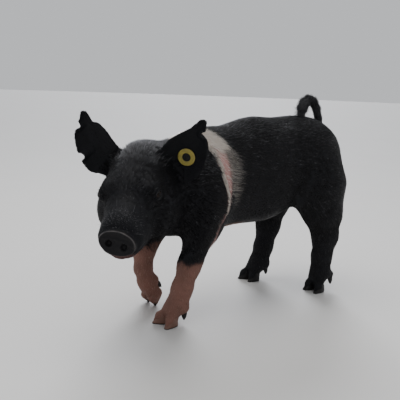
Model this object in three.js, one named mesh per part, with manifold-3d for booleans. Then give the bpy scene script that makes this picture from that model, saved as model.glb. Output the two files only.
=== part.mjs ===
// A young belted pig of about eight weeks, standing, as a still life-size model.
// Millimetres. +X is the pig's left, +Y its tail end, +Z up, and the soles lie on z = 0.
//
// The body is one smooth field of named muscles and bones. Each part of flesh is a capsule
// whose points are pushed out to the surface of that field, trimmed where it meets its
// neighbours, so that the parts fit face to face with a small play between them.

import * as THREE from 'three';
import { mergeVertices } from 'three/addons/utils/BufferGeometryUtils.js';
import Module from 'manifold-3d';

const wasm = await Module();
wasm.setup();

const at = (x, y, z) => new THREE.Vector3(x, y, z);
const degrees = THREE.MathUtils.degToRad;

// ---------------------------------------------------------------- driving dimensions

const PLAY = 0.3;               // clearance between neighbouring parts
const TRIM_MARGIN = 10;         // flesh is shaped this far past a cut before it is trimmed
const LEG_MARGIN = 24;          // the same where the legs leave the trunk
const SEARCH_STEP = 4;          // first step of the search for the surface of the flesh

const HEAD_PLACE = at(14.5, -192.2, 251.5);     // midpoint between the ears
const HEAD_YAW = degrees(46.4);                 // turned to the pig's left
const HEAD_PITCH = degrees(8.9);                // nose down
const HEAD_ROLL = degrees(-3);
const SNOUT_PLACE = at(0, -163, -42);           // centre of the back of the snout disc
const SNOUT_ROLL = degrees(6);
const SNOUT_TIP = degrees(-10);
const SNOUT_HALF_WIDTH = 27;
const SNOUT_HALF_HEIGHT = 17.5;
const SNOUT_THICKNESS = 10;
const SNOUT_EDGE = [0.94, 1.04, 0.9];           // half section: radius at the back, middle and front
const SNOUT_DISH = 0.14;                        // the middle of the disc is this much thinner
const NOSTRIL_PLACE = at(11, -11, -2);          // on the snout disc
const NOSTRIL_HALF = at(5, 6.5, 5.8);
const EYE_PLACE = at(40.5, -88, 2);
const EYE_RADIUS = 9.5;
const EAR_THICKNESS = 4.6;
const TAG_RADIUS = 14;
const TAG_BORE = 5.6;           // the opening of the ring, where the stud shows
const TAG_THICKNESS = 2.4;
const TAG_PIN_RADIUS = 2.6;
const TAG_LIFT = 2.2;           // the ring stands this far off the hollow of the ear
const TAG_HEIGHT = 0.36;        // how far up the ear the tag sits
const TAG_OUTWARD = 0.1;        // how far from its middle, of its half width
const TAG_EDGE = 0.8;           // the edges of the tag are broken by this
const TAIL_RADIUS = [9.4, 5.9, 10];             // at the root, in the middle and at the tip
const TAIL_SPLIT = 0.52;        // where along its length the tail is divided
const TAIL_LAP = 0.05;          // both halves are drawn this far past the cut

const HOOF_WIDTH = 18;
const HOOF_REACH = 14;          // from the middle of the sole to the toe, and to the heel
const HOOF_HEIGHT = 21;
const HOOF_BEVEL = 2.5;
const HOOF_WEAR = 1.6;          // the sole is worn flat by this much
const HOOF_CORONET = 14;        // the top of the hoof ends this far before the heel
const HOOF_TOE_HEIGHT = 0.6;    // of its full height, where the slope of the toe starts
const HOOF_NARROWING = 0.26;    // the toe is this much narrower than the heel
const HEEL_HEIGHT = 10;
const DEWCLAW_LENGTH = 19;
const DEWCLAW_RADIUS = 6;
const DEWCLAW_PROFILE = [[0, 0], [0.9, 0], [1, 0.3], [0.75, 0.68], [0.3, 0.96], [0, 1]];

const LEG_BLEND = 24;
const HEAD_BLEND = 26;

// Trunk masses: centre, half sizes and the width of the blend into the rest.
const TRUNK_MASSES = {
  ribs: [at(0, -45, 236), at(78, 128, 92), 24],
  belly: [at(0, 55, 246), at(79, 120, 101), 24],
  loin: [at(0, 145, 266), at(72, 92, 82), 24],
  croup: [at(0, 190, 289), at(54, 62, 52), 20],
  brisket: [at(0, -130, 197), at(48, 52, 57), 24],
  withers: [at(0, -62, 262), at(44, 72, 64), 20],
  crest: [at(5, -142, 281), at(30, 62, 33), 16],
};
const PAIRED_MASSES = {
  shoulder: [at(48, -92, 222), at(35, 50, 80), 24],
  ham: [at(49, 176, 236), at(38, 59, 86), 32],
};

// Neck: two thick cords from the shoulders to the back of the head.
const NECK_CORDS = [
  [at(0, -70, 254), 56, at(13, -178, 246), 46, 24],
  [at(0, -90, 228), 66, at(10, -172, 222), 56, 24],
];

// Head masses in the head's own frame: -Y is the nose, +Z the poll.
const HEAD_MASSES = {
  skull: [at(0, -24, 5), at(49.5, 62, 50), 20],
  brow: [at(0, -70, 8), at(40, 34, 26), 16],
  chin: [at(0, -136, -62), at(18, 22, 12), 10],
  poll: [at(0, -2, 36), at(28, 34, 27), 16],
};
const PAIRED_HEAD_MASSES = {
  cheek: [at(34, -36, -38), at(33, 52, 43), 20],
  browRidge: [at(31, -80, 13), at(12, 19, 9), 12],
  lip: [at(19, -124, -44), at(17, 38, 18), 12],
  earRoot: [at(42, 6, 16), at(14, 14, 20), 12],
};
const MUZZLE = [at(0, -60, -14), 44, at(0, -156, -38), 27.5, 16];
const JAW = [at(0, -32, -52), 40, at(0, -128, -62), 18, 16];
const SNOUT_RIM = [at(0, -159, -42), at(28, 10, 18), 8];

// Legs: the bone line with its thickness at each joint, from inside the trunk down.
const LEGS = [
  {
    name: 'fore_left', side: 1, pair: 'fore',
    joints: [
      [at(54, -88, 205), 36], [at(52, -98, 163), 27.5], [at(48, -119, 100), 20.5],
      [at(47, -132, 60), 18.5], [at(46, -140, 34), 19],
    ],
    digits: [[at(25, -178, 0), degrees(-31)], [at(61, -174, 0), degrees(18)]],
    dewclaws: [[at(38, -132, 28), at(35, -133, 5)], [at(56, -132, 28), at(57, -133, 5)]],
    split: 88,
  },
  {
    name: 'fore_right', side: -1, pair: 'fore',
    joints: [
      [at(-52, -104, 205), 40], [at(-52, -118, 163), 28], [at(-49, -151, 102), 19.5],
      [at(-48, -153, 72), 16.5], [at(-48, -145, 48), 17],
    ],
    digits: [[at(-60, -134, -1.8), degrees(-4)], [at(-39, -132, -1.8), degrees(4)]],
    dewclaws: [[at(-58, -134, 51), at(-61, -120, 33)], [at(-38, -134, 51), at(-36, -120, 33)]],
    split: 88,
    hang: degrees(66),
  },
  {
    name: 'hind_left', side: 1, pair: 'hind',
    joints: [
      [at(58, 182, 215), 48], [at(60, 190, 160), 37], [at(60, 201, 112), 26],
      [at(60, 196, 70), 20], [at(60, 195, 40), 20.5],
    ],
    digits: [[at(44, 166, 0), degrees(-12)], [at(72, 169, 0), degrees(10)]],
    dewclaws: [[at(49, 213, 34), at(47, 215, 11)], [at(71, 213, 34), at(72, 215, 11)]],
    split: 104,
  },
  {
    name: 'hind_right', side: -1, pair: 'hind',
    joints: [
      [at(-56, 168, 215), 46], [at(-57, 157, 160), 36], [at(-56, 154, 114), 25],
      [at(-55, 143, 70), 20], [at(-55, 133, 38), 20.5],
    ],
    digits: [[at(-76, 94, 0), degrees(-22)], [at(-48, 99, 0), degrees(2)]],
    dewclaws: [[at(-66, 142, 34), at(-68, 143, 10)], [at(-44, 142, 34), at(-42, 143, 10)]],
    split: 104,
  },
];

// ---------------------------------------------------------------- colours

const surface = (color, roughness) => new THREE.MeshStandardMaterial({ color, roughness });
const COAT = surface(0x1b1c1f, 0.7);
const BARE_SKIN = surface(0x9a6a5f, 0.6);
const SNOUT_SKIN = surface(0x242225, 0.45);
const EYE = surface(0x15100e, 0.1);
const PALE_HOOF = surface(0x8a6f60, 0.5);
const DARK_HOOF = surface(0x1c1a19, 0.45);
const TAG_YELLOW = surface(0xd9c230, 0.5);
const TAG_DARK = surface(0x2a2a26, 0.5);

// ---------------------------------------------------------------- fields

// All lengths here are signed distances: negative inside, positive outside.
const union = (a, b, blend) => {
  const overlap = Math.max(blend - Math.abs(a - b), 0) / blend;
  return Math.min(a, b) - overlap * overlap * blend / 4;
};

function mass(centre, half) {
  return (p) => {
    const [x, y, z] = [p.x - centre.x, p.y - centre.y, p.z - centre.z];
    const near = Math.hypot(x / half.x, y / half.y, z / half.z);
    const slope = Math.hypot(x / half.x ** 2, y / half.y ** 2, z / half.z ** 2);
    return near * (near - 1) / Math.max(slope, 1e-6);
  };
}

function cord(a, radiusA, b, radiusB) {
  const line = new THREE.Line3(a, b);
  const foot = new THREE.Vector3();
  return (p) => {
    const along = line.closestPointToPointParameter(p, true);
    return line.at(along, foot).distanceTo(p) - THREE.MathUtils.lerp(radiusA, radiusB, along);
  };
}

const mirrored = (v) => at(-v.x, v.y, v.z);
const FAR = 1e3;
const blended = (members) => (p) => members.reduce(
  (sum, [shape, blend]) => union(sum, shape(p), blend), FAR);
const masses = (table) => Object.values(table).map(([centre, half, blend]) => [mass(centre, half), blend]);
const pairs = (table) => masses(table).concat(
  Object.values(table).map(([centre, half, blend]) => [mass(mirrored(centre), half), blend]));

const HEAD_TURN = new THREE.Euler(HEAD_PITCH, HEAD_ROLL, HEAD_YAW, 'ZXY');
const HEAD_FRAME = new THREE.Matrix4().makeRotationFromEuler(HEAD_TURN).setPosition(HEAD_PLACE);
const HEAD_INVERSE = HEAD_FRAME.clone().invert();
const onHead = (v) => v.clone().applyMatrix4(HEAD_FRAME);
const headward = (v) => v.clone().transformDirection(HEAD_FRAME);

const headField = blended([
  ...masses(HEAD_MASSES), ...pairs(PAIRED_HEAD_MASSES),
  [cord(...MUZZLE), MUZZLE[4]], [cord(...JAW), JAW[4]],
  [mass(...SNOUT_RIM), SNOUT_RIM[2]],
]);
const trunkField = blended([
  ...masses(TRUNK_MASSES), ...pairs(PAIRED_MASSES),
  ...NECK_CORDS.map((run) => [cord(...run), run[4]]),
]);

// A digit's frame stands at the middle of its sole, -Y to the toe, found from the toe's tip.
function digitFrame([toe, turn], hang = 0) {
  const frame = new THREE.Matrix4().makeRotationFromEuler(new THREE.Euler(hang, 0, turn, 'ZXY'));
  return frame.setPosition(toe.clone().sub(at(0, -HOOF_REACH, 0).applyMatrix4(frame)));
}

function digitFlesh(digit, leg) {
  const [ankle, thickness] = leg.joints[leg.joints.length - 1];
  const coronet = at(0, 4, HOOF_HEIGHT - 4).applyMatrix4(digitFrame(digit, leg.hang));
  const heel = at(0, HOOF_REACH - 2, HEEL_HEIGHT).applyMatrix4(digitFrame(digit, leg.hang));
  return [
    [cord(ankle, thickness * 0.6, coronet, HOOF_WIDTH / 2), 8],
    [cord(coronet, HOOF_WIDTH / 2, heel, HOOF_WIDTH / 2 - 1.5), 6],
  ];
}

const legField = blended(LEGS.flatMap((leg) => {
  const bones = leg.joints.slice(1).map(([place, radius], i) => {
    const [above, thickness] = leg.joints[i];
    return [cord(above, thickness, place, radius), 12];
  });
  const [ankle, thickness] = leg.joints[leg.joints.length - 1];
  const spurs = leg.dewclaws.map(([root]) => [cord(ankle, thickness * 0.7, root, DEWCLAW_RADIUS + 1), 8]);
  return [...bones, ...spurs, ...leg.digits.flatMap((digit) => digitFlesh(digit, leg))];
}));

const headPoint = new THREE.Vector3();
const flesh = (p) => {
  const body = union(trunkField(p), legField(p), LEG_BLEND);
  return union(body, headField(headPoint.copy(p).applyMatrix4(HEAD_INVERSE)), HEAD_BLEND);
};

// ---------------------------------------------------------------- solids

function closed(geometry) {
  const bare = geometry.clone();
  bare.deleteAttribute('normal');
  bare.deleteAttribute('uv');
  const merged = mergeVertices(bare, 1e-4);
  const index = merged.index.array;
  const kept = [];
  for (let i = 0; i < index.length; i += 3) {
    const [a, b, c] = index.subarray(i, i + 3);
    if (a !== b && b !== c && c !== a) kept.push(a, b, c);
  }
  return new wasm.Manifold(new wasm.Mesh({
    numProp: 3, vertProperties: merged.attributes.position.array, triVerts: Uint32Array.from(kept),
  }));
}

// A body that is cut off everywhere on the outer side of a plane.
function halfSpace(plane) {
  const size = 900;
  const turn = new THREE.Quaternion().setFromUnitVectors(at(0, 0, 1), plane.normal);
  const box = new THREE.BoxGeometry(size, size, size);
  box.translate(0, 0, size / 2).applyQuaternion(turn);
  const foot = plane.normal.clone().multiplyScalar(-plane.constant);
  return closed(box.translate(foot.x, foot.y, foot.z));
}

const facing = (normal, point) => new THREE.Plane().setFromNormalAndCoplanarPoint(
  normal.normalize(), point);
const moved = (plane, by) => new THREE.Plane(plane.normal, plane.constant - by);
const trimmed = (solid, planes) => planes.reduce(
  (rest, plane) => rest.subtract(halfSpace(moved(plane, -PLAY / 2))), solid);

// A capsule from a to b whose points are drawn out to where the field is zero.
function wrapped(field, a, b, { around, along, caps }) {
  const length = a.distanceTo(b);
  const geometry = new THREE.CapsuleGeometry(1, length, caps, around, along);
  const turn = new THREE.Quaternion().setFromUnitVectors(at(0, 1, 0), b.clone().sub(a).normalize());
  const middle = a.clone().lerp(b, 0.5);
  const points = geometry.attributes.position;
  const point = new THREE.Vector3();
  const foot = new THREE.Vector3();
  const ray = new THREE.Vector3();
  for (let i = 0; i < points.count; i += 1) {
    point.fromBufferAttribute(points, i);
    foot.set(0, THREE.MathUtils.clamp(point.y, -length / 2, length / 2), 0);
    ray.copy(point).sub(foot).normalize().applyQuaternion(turn);
    foot.applyQuaternion(turn).add(middle);
    point.copy(foot).addScaledVector(ray, reach(field, foot, ray));
    points.setXYZ(i, point.x, point.y, point.z);
  }
  return geometry;
}

function reach(field, foot, ray) {
  const probe = new THREE.Vector3();
  let near = 0;
  let far = SEARCH_STEP;
  while (field(probe.copy(foot).addScaledVector(ray, far)) < 0) {
    near = far;
    far += SEARCH_STEP;
  }
  for (let i = 0; i < 12; i += 1) {
    const middle = (near + far) / 2;
    if (field(probe.copy(foot).addScaledVector(ray, middle)) < 0) near = middle;
    else far = middle;
  }
  return near;
}

const within = (field, planes) => (p) => Math.max(
  field(p), ...planes.map((plane) => plane.distanceToPoint(p) - TRIM_MARGIN));

// ---------------------------------------------------------------- the model

const model = new THREE.Group();

function add(name, solid, material) {
  const mesh = solid.isBufferGeometry ? closed(solid) : solid;
  const { vertProperties, triVerts } = mesh.getMesh();
  const geometry = new THREE.BufferGeometry();
  geometry.setAttribute('position', new THREE.BufferAttribute(vertProperties, 3));
  geometry.setIndex(new THREE.BufferAttribute(triVerts, 1));
  geometry.computeVertexNormals();
  const part = new THREE.Mesh(geometry, material);
  part.name = name;
  model.add(part);
  return mesh;
}

// Cuts between the parts of flesh. Each plane faces out of the part named first.
const TRUNK_TO_NECK = facing(at(0, -0.9, 0.42), at(0, -122, 245));
const NECK_TO_HEAD = facing(headward(at(0, -1, 0)), onHead(at(0, 14, 0)));
const TRUNK_TO_TAIL = facing(at(0, 0.62, 0.78), at(0, 222, 330));
const flipped = (plane) => plane.clone().negate();

// Each leg starts under a level cut through the lowest part of the trunk, and is clear of
// the belly and of the leg beside it.
const LEG_TOPS = { fore: 142, hind: 154 };
const LEG_INSIDES = { fore: 12, hind: 4 };
const LEG_BELLIES = { fore: -44, hind: 96 };
function legPlanes({ side, pair }) {
  return [
    facing(at(0, 0, 1), at(0, 0, LEG_TOPS[pair])),
    facing(at(-side, 0, 0), at(side * LEG_INSIDES[pair], 0, 0)),
    facing(at(0, -Math.sign(LEG_BELLIES[pair]), 0), at(0, LEG_BELLIES[pair], 0)),
  ];
}

function legBlock({ side, pair }) {
  const size = 400;
  const end = Math.sign(LEG_BELLIES[pair]);
  const box = new THREE.BoxGeometry(size, size, size).translate(side * size / 2, end * size / 2, -size / 2);
  const inside = side * (LEG_INSIDES[pair] - PLAY / 2);
  return closed(box.translate(inside, LEG_BELLIES[pair] - end * PLAY / 2, LEG_TOPS[pair] + PLAY / 2));
}

const inLegBlock = (p) => LEGS.some(
  (leg) => legPlanes(leg).every((plane) => plane.distanceToPoint(p) < -LEG_MARGIN));

function buildTrunk() {
  const planes = [TRUNK_TO_NECK, TRUNK_TO_TAIL];
  const field = (p) => (inLegBlock(p) ? 1 : within(flesh, planes)(p));
  const shape = wrapped(field, at(0, -85, 248), at(0, 160, 262), { around: 32, along: 12, caps: 7 });
  const open = LEGS.reduce((rest, leg) => rest.subtract(legBlock(leg)), closed(shape));
  add('trunk', trimmed(open, planes), COAT);
}

function buildNeck() {
  const planes = [flipped(TRUNK_TO_NECK), NECK_TO_HEAD];
  const field = within(flesh, planes);
  const shape = wrapped(field, at(2, -118, 252), at(10, -160, 250), { around: 26, along: 3, caps: 5 });
  add('neck', trimmed(closed(shape), planes), COAT);
}

const FACE = facing(headward(at(0, -Math.cos(SNOUT_TIP), -Math.sin(SNOUT_TIP))), onHead(SNOUT_PLACE));
const eyePlace = (side) => onHead(at(side * EYE_PLACE.x, EYE_PLACE.y, EYE_PLACE.z));

// The lower jaw lies under a plane from the corner of the mouth to the lip.
const MOUTH_CORNER = at(0, -95, -40);
const MOUTH_SLOPE = degrees(21);
function jawBlock(grow) {
  const size = 300;
  const box = new THREE.BoxGeometry(size, size, size).translate(0, -size / 2 + grow, -size / 2 + grow);
  box.rotateX(MOUTH_SLOPE).translate(MOUTH_CORNER.x, MOUTH_CORNER.y, MOUTH_CORNER.z);
  return closed(box.applyMatrix4(HEAD_FRAME));
}

const HEAD_CUTS = [flipped(NECK_TO_HEAD), flipped(TRUNK_TO_NECK)];
const headShape = (swell) => closed(wrapped(
  (p) => within(flesh, HEAD_CUTS)(p) - swell,
  onHead(at(0, -4, -4)), onHead(at(0, -146, -40)), { around: 28, along: 14, caps: 6 }));

function buildHead() {
  let head = trimmed(headShape(0), [...HEAD_CUTS, FACE]);
  for (const side of [1, -1]) {
    const place = eyePlace(side);
    const socket = new THREE.SphereGeometry(EYE_RADIUS + PLAY, 10, 7);
    head = head.subtract(closed(socket.translate(place.x, place.y, place.z)));
  }
  add('lower_jaw', head.intersect(jawBlock(0)), COAT);
  add('head', head.subtract(jawBlock(PLAY)), COAT);
}

function buildEyes() {
  for (const [name, side] of [['eye_left', 1], ['eye_right', -1]]) {
    const place = eyePlace(side);
    add(name, new THREE.SphereGeometry(EYE_RADIUS, 10, 7).translate(place.x, place.y, place.z), EYE);
  }
}

function buildSnout() {
  const [back, middle, front] = SNOUT_EDGE;
  const profile = new THREE.Path().moveTo(0, 0).lineTo(back, 0);
  profile.quadraticCurveTo(middle, 0.5, front, 1).lineTo(0, 1 - SNOUT_DISH);
  const disc = new THREE.LatheGeometry(profile.getPoints(3), 20);
  disc.scale(SNOUT_HALF_WIDTH, SNOUT_THICKNESS, SNOUT_HALF_HEIGHT).rotateX(Math.PI);
  const place = new THREE.Matrix4().makeRotationFromEuler(new THREE.Euler(SNOUT_TIP, SNOUT_ROLL, 0, 'XYZ'));
  place.setPosition(SNOUT_PLACE).premultiply(HEAD_FRAME);
  let snout = closed(disc.translate(0, -PLAY, 0).applyMatrix4(place));
  for (const side of [1, -1]) {
    const nostril = new THREE.SphereGeometry(1, 8, 5).scale(NOSTRIL_HALF.x, NOSTRIL_HALF.y, NOSTRIL_HALF.z);
    nostril.translate(side * NOSTRIL_PLACE.x, NOSTRIL_PLACE.y, NOSTRIL_PLACE.z).applyMatrix4(place);
    snout = snout.subtract(closed(nostril));
  }
  add('snout_disc', snout, SNOUT_SKIN);
}

// An ear is a cupped leaf between two edges drawn in the head's frame, x outward and z up.
const EARS = [
  {
    name: 'ear_left', side: 1,
    inner: [[27, 41], [47, 64], [67, 76], [82, 83], [94, 92], [101, 97]],
    outer: [[56, -12], [80, -2], [96, 13], [105, 30], [109, 48], [108, 66], [104, 80], [106, 93]],
    notches: [[104, 72, 6]],
    tagged: true,
  },
  {
    name: 'ear_right', side: -1,
    inner: [[30, 48], [36, 57], [43, 68], [50, 80], [60, 92], [70, 95], [74, 103], [79, 112]],
    outer: [[65, 9], [83, 13], [92, 23], [97, 34], [101, 48], [103, 66], [99, 82], [91, 98], [86, 112]],
    notches: [[97, 89, 7], [97, 37, 7]],
  },
];
const EAR_CUP = 13;             // how far the edges stand in front of the middle
const EAR_SETBACK = -13.2;      // where the edges stand, in front of the middle of the skull
const EAR_LEAN = -6;            // how far the tip stands in front of the root
const EAR_ROOT = new THREE.Vector2(-12, -7.2);  // the leaf starts this far inside the head
const EAR_ROOT_SHARE = 0.12;    // the part of the leaf's length that lies inside the head

function earLeaf(ear, thickness) {
  const edge = (points) => new THREE.SplineCurve(points.map(([x, z]) => new THREE.Vector2(x, z)));
  const [inner, outer] = [edge(ear.inner), edge(ear.outer)];
  return (across, up, side) => {
    const [a, b] = [inner.getPointAt(Math.max(up, 0)), outer.getPointAt(Math.max(up, 0))];
    const spot = a.lerp(b, (across + 1) / 2);
    spot.addScaledVector(EAR_ROOT, Math.max(-up, 0) / EAR_ROOT_SHARE);
    const flattening = 1 - 0.6 * up;
    const cup = EAR_CUP * flattening * (1 - across * across);
    const thinning = (1 - 0.35 * Math.max(up, 0)) * (1 - 0.45 * across ** 4);
    const front = EAR_SETBACK + EAR_LEAN * up + cup + side * thickness * thinning;
    return at(ear.side * spot.x, front, spot.y);
  };
}

// A round two-piece tag: a ring and stud in the hollow of the ear and a button behind it.
function pinTag(leaf, ear) {
  const [u, v, step] = [TAG_OUTWARD, TAG_HEIGHT, 0.05];
  const [front, back] = [leaf(u, v, -0.5), leaf(u, v, 0.5)];
  const across = leaf(u + step, v, -0.5).sub(leaf(u - step, v, -0.5));
  const up = leaf(u, v + step, -0.5).sub(leaf(u, v - step, -0.5));
  const out = at(0, 0, 0).crossVectors(across, up).normalize();
  if (out.y > 0) out.negate();
  const frame = new THREE.Matrix4().makeRotationFromQuaternion(
    new THREE.Quaternion().setFromUnitVectors(at(0, 1, 0), out));
  frame.setPosition(front).premultiply(HEAD_FRAME);
  const turned = (profile, sides) => {
    const points = profile.map(([radius, height]) => new THREE.Vector2(radius, height));
    return closed(new THREE.LatheGeometry(points, sides).applyMatrix4(frame));
  };
  const depth = -front.distanceTo(back);
  const low = TAG_LIFT;
  const high = TAG_LIFT + TAG_THICKNESS;
  const rear = depth - 2 * PLAY;
  const [rim, pin] = [TAG_RADIUS, TAG_PIN_RADIUS];
  add('tag_ring', turned([
    [TAG_BORE, low], [rim - TAG_EDGE, low], [rim, low + TAG_EDGE], [rim - TAG_EDGE, high],
    [TAG_BORE, high - TAG_EDGE], [TAG_BORE, low],
  ], 16), TAG_YELLOW);
  add('tag_stud', turned([
    [0, rear - TAG_THICKNESS], [pin, rear - TAG_THICKNESS], [pin, low], [TAG_BORE - PLAY, low],
    [TAG_BORE - PLAY, high], [pin, high + TAG_EDGE], [0, high + TAG_EDGE],
  ], 12), TAG_DARK);
  add('tag_button', turned([
    [pin + PLAY, rear - TAG_THICKNESS], [rim - TAG_EDGE, rear - TAG_THICKNESS],
    [rim, rear - TAG_THICKNESS / 2], [rim - TAG_EDGE, rear],
    [pin + PLAY, rear], [pin + PLAY, rear - TAG_THICKNESS],
  ], 16), TAG_YELLOW);
  const bore = 20;
  return ear.subtract(turned([[0, -bore], [pin + PLAY, -bore], [pin + PLAY, bore], [0, bore]], 12));
}

function buildEars() {
  const swollenHead = headShape(PLAY);
  for (const ear of EARS) {
    const leaf = earLeaf(ear, EAR_THICKNESS);
    const geometry = new THREE.BoxGeometry(2, 1 + EAR_ROOT_SHARE, 1, 6, 9, 1);
    const points = geometry.attributes.position;
    for (let i = 0; i < points.count; i += 1) {
      const up = points.getY(i) + (1 - EAR_ROOT_SHARE) / 2;
      const spot = leaf(ear.side * points.getX(i), Math.min(up, 1), -points.getZ(i));
      points.setXYZ(i, spot.x, spot.y, spot.z);
    }
    let solid = closed(geometry.applyMatrix4(HEAD_FRAME)).subtract(swollenHead);
    for (const [x, z, radius] of ear.notches) {
      const punch = new THREE.CylinderGeometry(radius, radius, 80, 10).translate(ear.side * x, 0, z);
      solid = solid.subtract(closed(punch.applyMatrix4(HEAD_FRAME)));
    }
    if (ear.tagged) solid = pinTag(leaf, solid);
    add(ear.name, solid, COAT);
  }
}

// The two halves of the curled tail, from the root over the top of the curl to the tip.
const TAIL_LINE = new THREE.CatmullRomCurve3([
  at(0, 223, 318), at(0, 221, 340), at(0, 214, 360), at(2, 201, 374),
  at(4, 185, 377), at(6, 173, 371), at(7, 168, 362),
]);
function tube(curve, from, to, radiusAt, around, rings) {
  const geometry = new THREE.CapsuleGeometry(1, 1, 3, around, rings);
  const points = geometry.attributes.position;
  const steps = 200;
  const frames = curve.computeFrenetFrames(steps);
  const point = new THREE.Vector3();
  for (let i = 0; i < points.count; i += 1) {
    point.fromBufferAttribute(points, i);
    const along = THREE.MathUtils.clamp(point.y + 0.5, 0, 1);
    const beyond = point.y + 0.5 - along;
    const t = THREE.MathUtils.lerp(from, to, along);
    const n = Math.round(t * steps);
    const radius = radiusAt(t);
    const spot = curve.getPointAt(t).addScaledVector(frames.tangents[n], beyond * radius);
    spot.addScaledVector(frames.normals[n], point.x * radius);
    spot.addScaledVector(frames.binormals[n], -point.z * radius);
    points.setXYZ(i, spot.x, spot.y, spot.z);
  }
  return geometry;
}

function buildTail() {
  const [root, waist, end] = TAIL_RADIUS;
  const taper = (root + end) / 2 - waist;
  const radiusAt = (t) => THREE.MathUtils.lerp(root, end, t) - taper * Math.sin(Math.PI * t);
  const cut = facing(TAIL_LINE.getTangentAt(TAIL_SPLIT), TAIL_LINE.getPointAt(TAIL_SPLIT));
  const base = closed(tube(TAIL_LINE, 0, TAIL_SPLIT + TAIL_LAP, radiusAt, 10, 9));
  const tip = closed(tube(TAIL_LINE, TAIL_SPLIT - TAIL_LAP, 1, radiusAt, 10, 8));
  add('tail_base', trimmed(base, [cut, flipped(TRUNK_TO_TAIL)]), COAT);
  add('tail_tip', trimmed(tip, [flipped(cut)]), COAT);
}

// A hoof drawn from the side, -Y to the toe, and narrowed towards the toe.
function hoofShape(grow) {
  const [low, high] = [HOOF_BEVEL - HOOF_WEAR, HOOF_HEIGHT - HOOF_BEVEL];
  const [toe, heel] = [HOOF_BEVEL - HOOF_REACH, HOOF_REACH - HOOF_BEVEL];
  const outline = new THREE.Shape().moveTo(toe, low).lineTo(heel, low);
  outline.lineTo(heel - HOOF_CORONET, high).lineTo(toe + 1, high * HOOF_TOE_HEIGHT);
  const depth = HOOF_WIDTH - 2 * HOOF_BEVEL;
  const bevel = HOOF_BEVEL + grow;
  const geometry = new THREE.ExtrudeGeometry(outline, {
    depth, bevelSize: bevel, bevelThickness: bevel, bevelSegments: 2, steps: 2,
  });
  geometry.translate(0, 0, -depth / 2).rotateX(Math.PI / 2).rotateZ(-Math.PI / 2);
  const points = geometry.attributes.position;
  for (let i = 0; i < points.count; i += 1) {
    const toeward = THREE.MathUtils.clamp(-points.getY(i) / HOOF_REACH, 0, 1);
    points.setX(i, points.getX(i) * (1 - HOOF_NARROWING * toeward ** 1.5));
  }
  return geometry;
}

const FLOOR = facing(at(0, 0, -1), at(0, 0, 0));

function dewclaw([root, tip], grow) {
  const [radius, length] = [DEWCLAW_RADIUS + grow, DEWCLAW_LENGTH + 2 * grow];
  const profile = DEWCLAW_PROFILE.map(
    ([across, along]) => new THREE.Vector2(across * radius, along * length));
  const turn = new THREE.Quaternion().setFromUnitVectors(at(0, 1, 0), tip.clone().sub(root).normalize());
  const start = tip.clone().sub(at(0, DEWCLAW_LENGTH + grow, 0).applyQuaternion(turn));
  const claw = new THREE.LatheGeometry(profile, 6).applyQuaternion(turn);
  return closed(claw.translate(start.x, start.y, start.z));
}

function buildLeg(leg) {
  const planes = legPlanes(leg);
  const [low] = leg.joints[leg.joints.length - 1];
  const top = at(leg.joints[1][0].x, leg.joints[1][0].y, LEG_TOPS[leg.pair] - 12);
  const shape = wrapped(within(flesh, planes), top, low, { around: 12, along: 10, caps: 3 });
  let whole = trimmed(closed(shape), planes);
  const sides = leg.side > 0 ? ['inner', 'outer'] : ['outer', 'inner'];
  leg.digits.forEach((digit, i) => {
    const frame = digitFrame(digit, leg.hang);
    const hoof = closed(hoofShape(0).applyMatrix4(frame)).subtract(halfSpace(FLOOR));
    whole = whole.subtract(closed(hoofShape(PLAY).applyMatrix4(frame)));
    add(`${leg.name}_hoof_${sides[i]}`, hoof, leg.pair === 'fore' ? PALE_HOOF : DARK_HOOF);
  });
  leg.dewclaws.forEach((claw, i) => {
    whole = whole.subtract(dewclaw(claw, PLAY));
    add(`${leg.name}_dewclaw_${sides[i]}`, dewclaw(claw, 0), DARK_HOOF);
  });
  const cut = facing(at(0, 0, 1), at(0, 0, leg.split));
  add(`${leg.name}_upper`, trimmed(whole, [flipped(cut)]), COAT);
  add(`${leg.name}_lower`, trimmed(whole, [cut]), leg.pair === 'fore' ? BARE_SKIN : COAT);
}

buildTrunk();
buildNeck();
buildHead();
buildEyes();
buildSnout();
buildEars();
buildTail();
LEGS.forEach(buildLeg);

// The origin is under the middle of the whole pig, on the floor.
const middle = new THREE.Box3().setFromObject(model).getCenter(at(0, 0, 0));
model.position.set(-middle.x, -middle.y, 0);

export default model;
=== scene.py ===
"""A young belted pig, standing: skin, coat, eyes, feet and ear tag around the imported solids."""

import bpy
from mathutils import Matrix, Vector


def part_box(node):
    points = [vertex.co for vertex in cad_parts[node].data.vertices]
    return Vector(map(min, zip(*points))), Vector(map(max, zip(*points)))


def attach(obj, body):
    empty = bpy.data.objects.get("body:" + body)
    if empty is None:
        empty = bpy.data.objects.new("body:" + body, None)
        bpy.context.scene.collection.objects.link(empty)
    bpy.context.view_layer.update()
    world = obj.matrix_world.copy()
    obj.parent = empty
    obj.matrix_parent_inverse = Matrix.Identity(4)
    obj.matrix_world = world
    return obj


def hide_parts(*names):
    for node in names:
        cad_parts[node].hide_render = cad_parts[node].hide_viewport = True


bl_info = {
    "name": "Young Belted Pig",
    "version": (1, 0, 0),
    "blender": (4, 5, 0),
    "location": "View3D > Sidebar > Pig",
    "description": "Makes the skin, coat, eyes, feet and ear tag of a young belted pig",
    "category": "Object",
}

import math
from typing import NamedTuple

import bmesh
import bpy
import numpy as np
from bpy.props import FloatProperty, FloatVectorProperty, IntProperty, PointerProperty
from mathutils import Matrix, Vector
from mathutils.bvhtree import BVHTree

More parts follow.
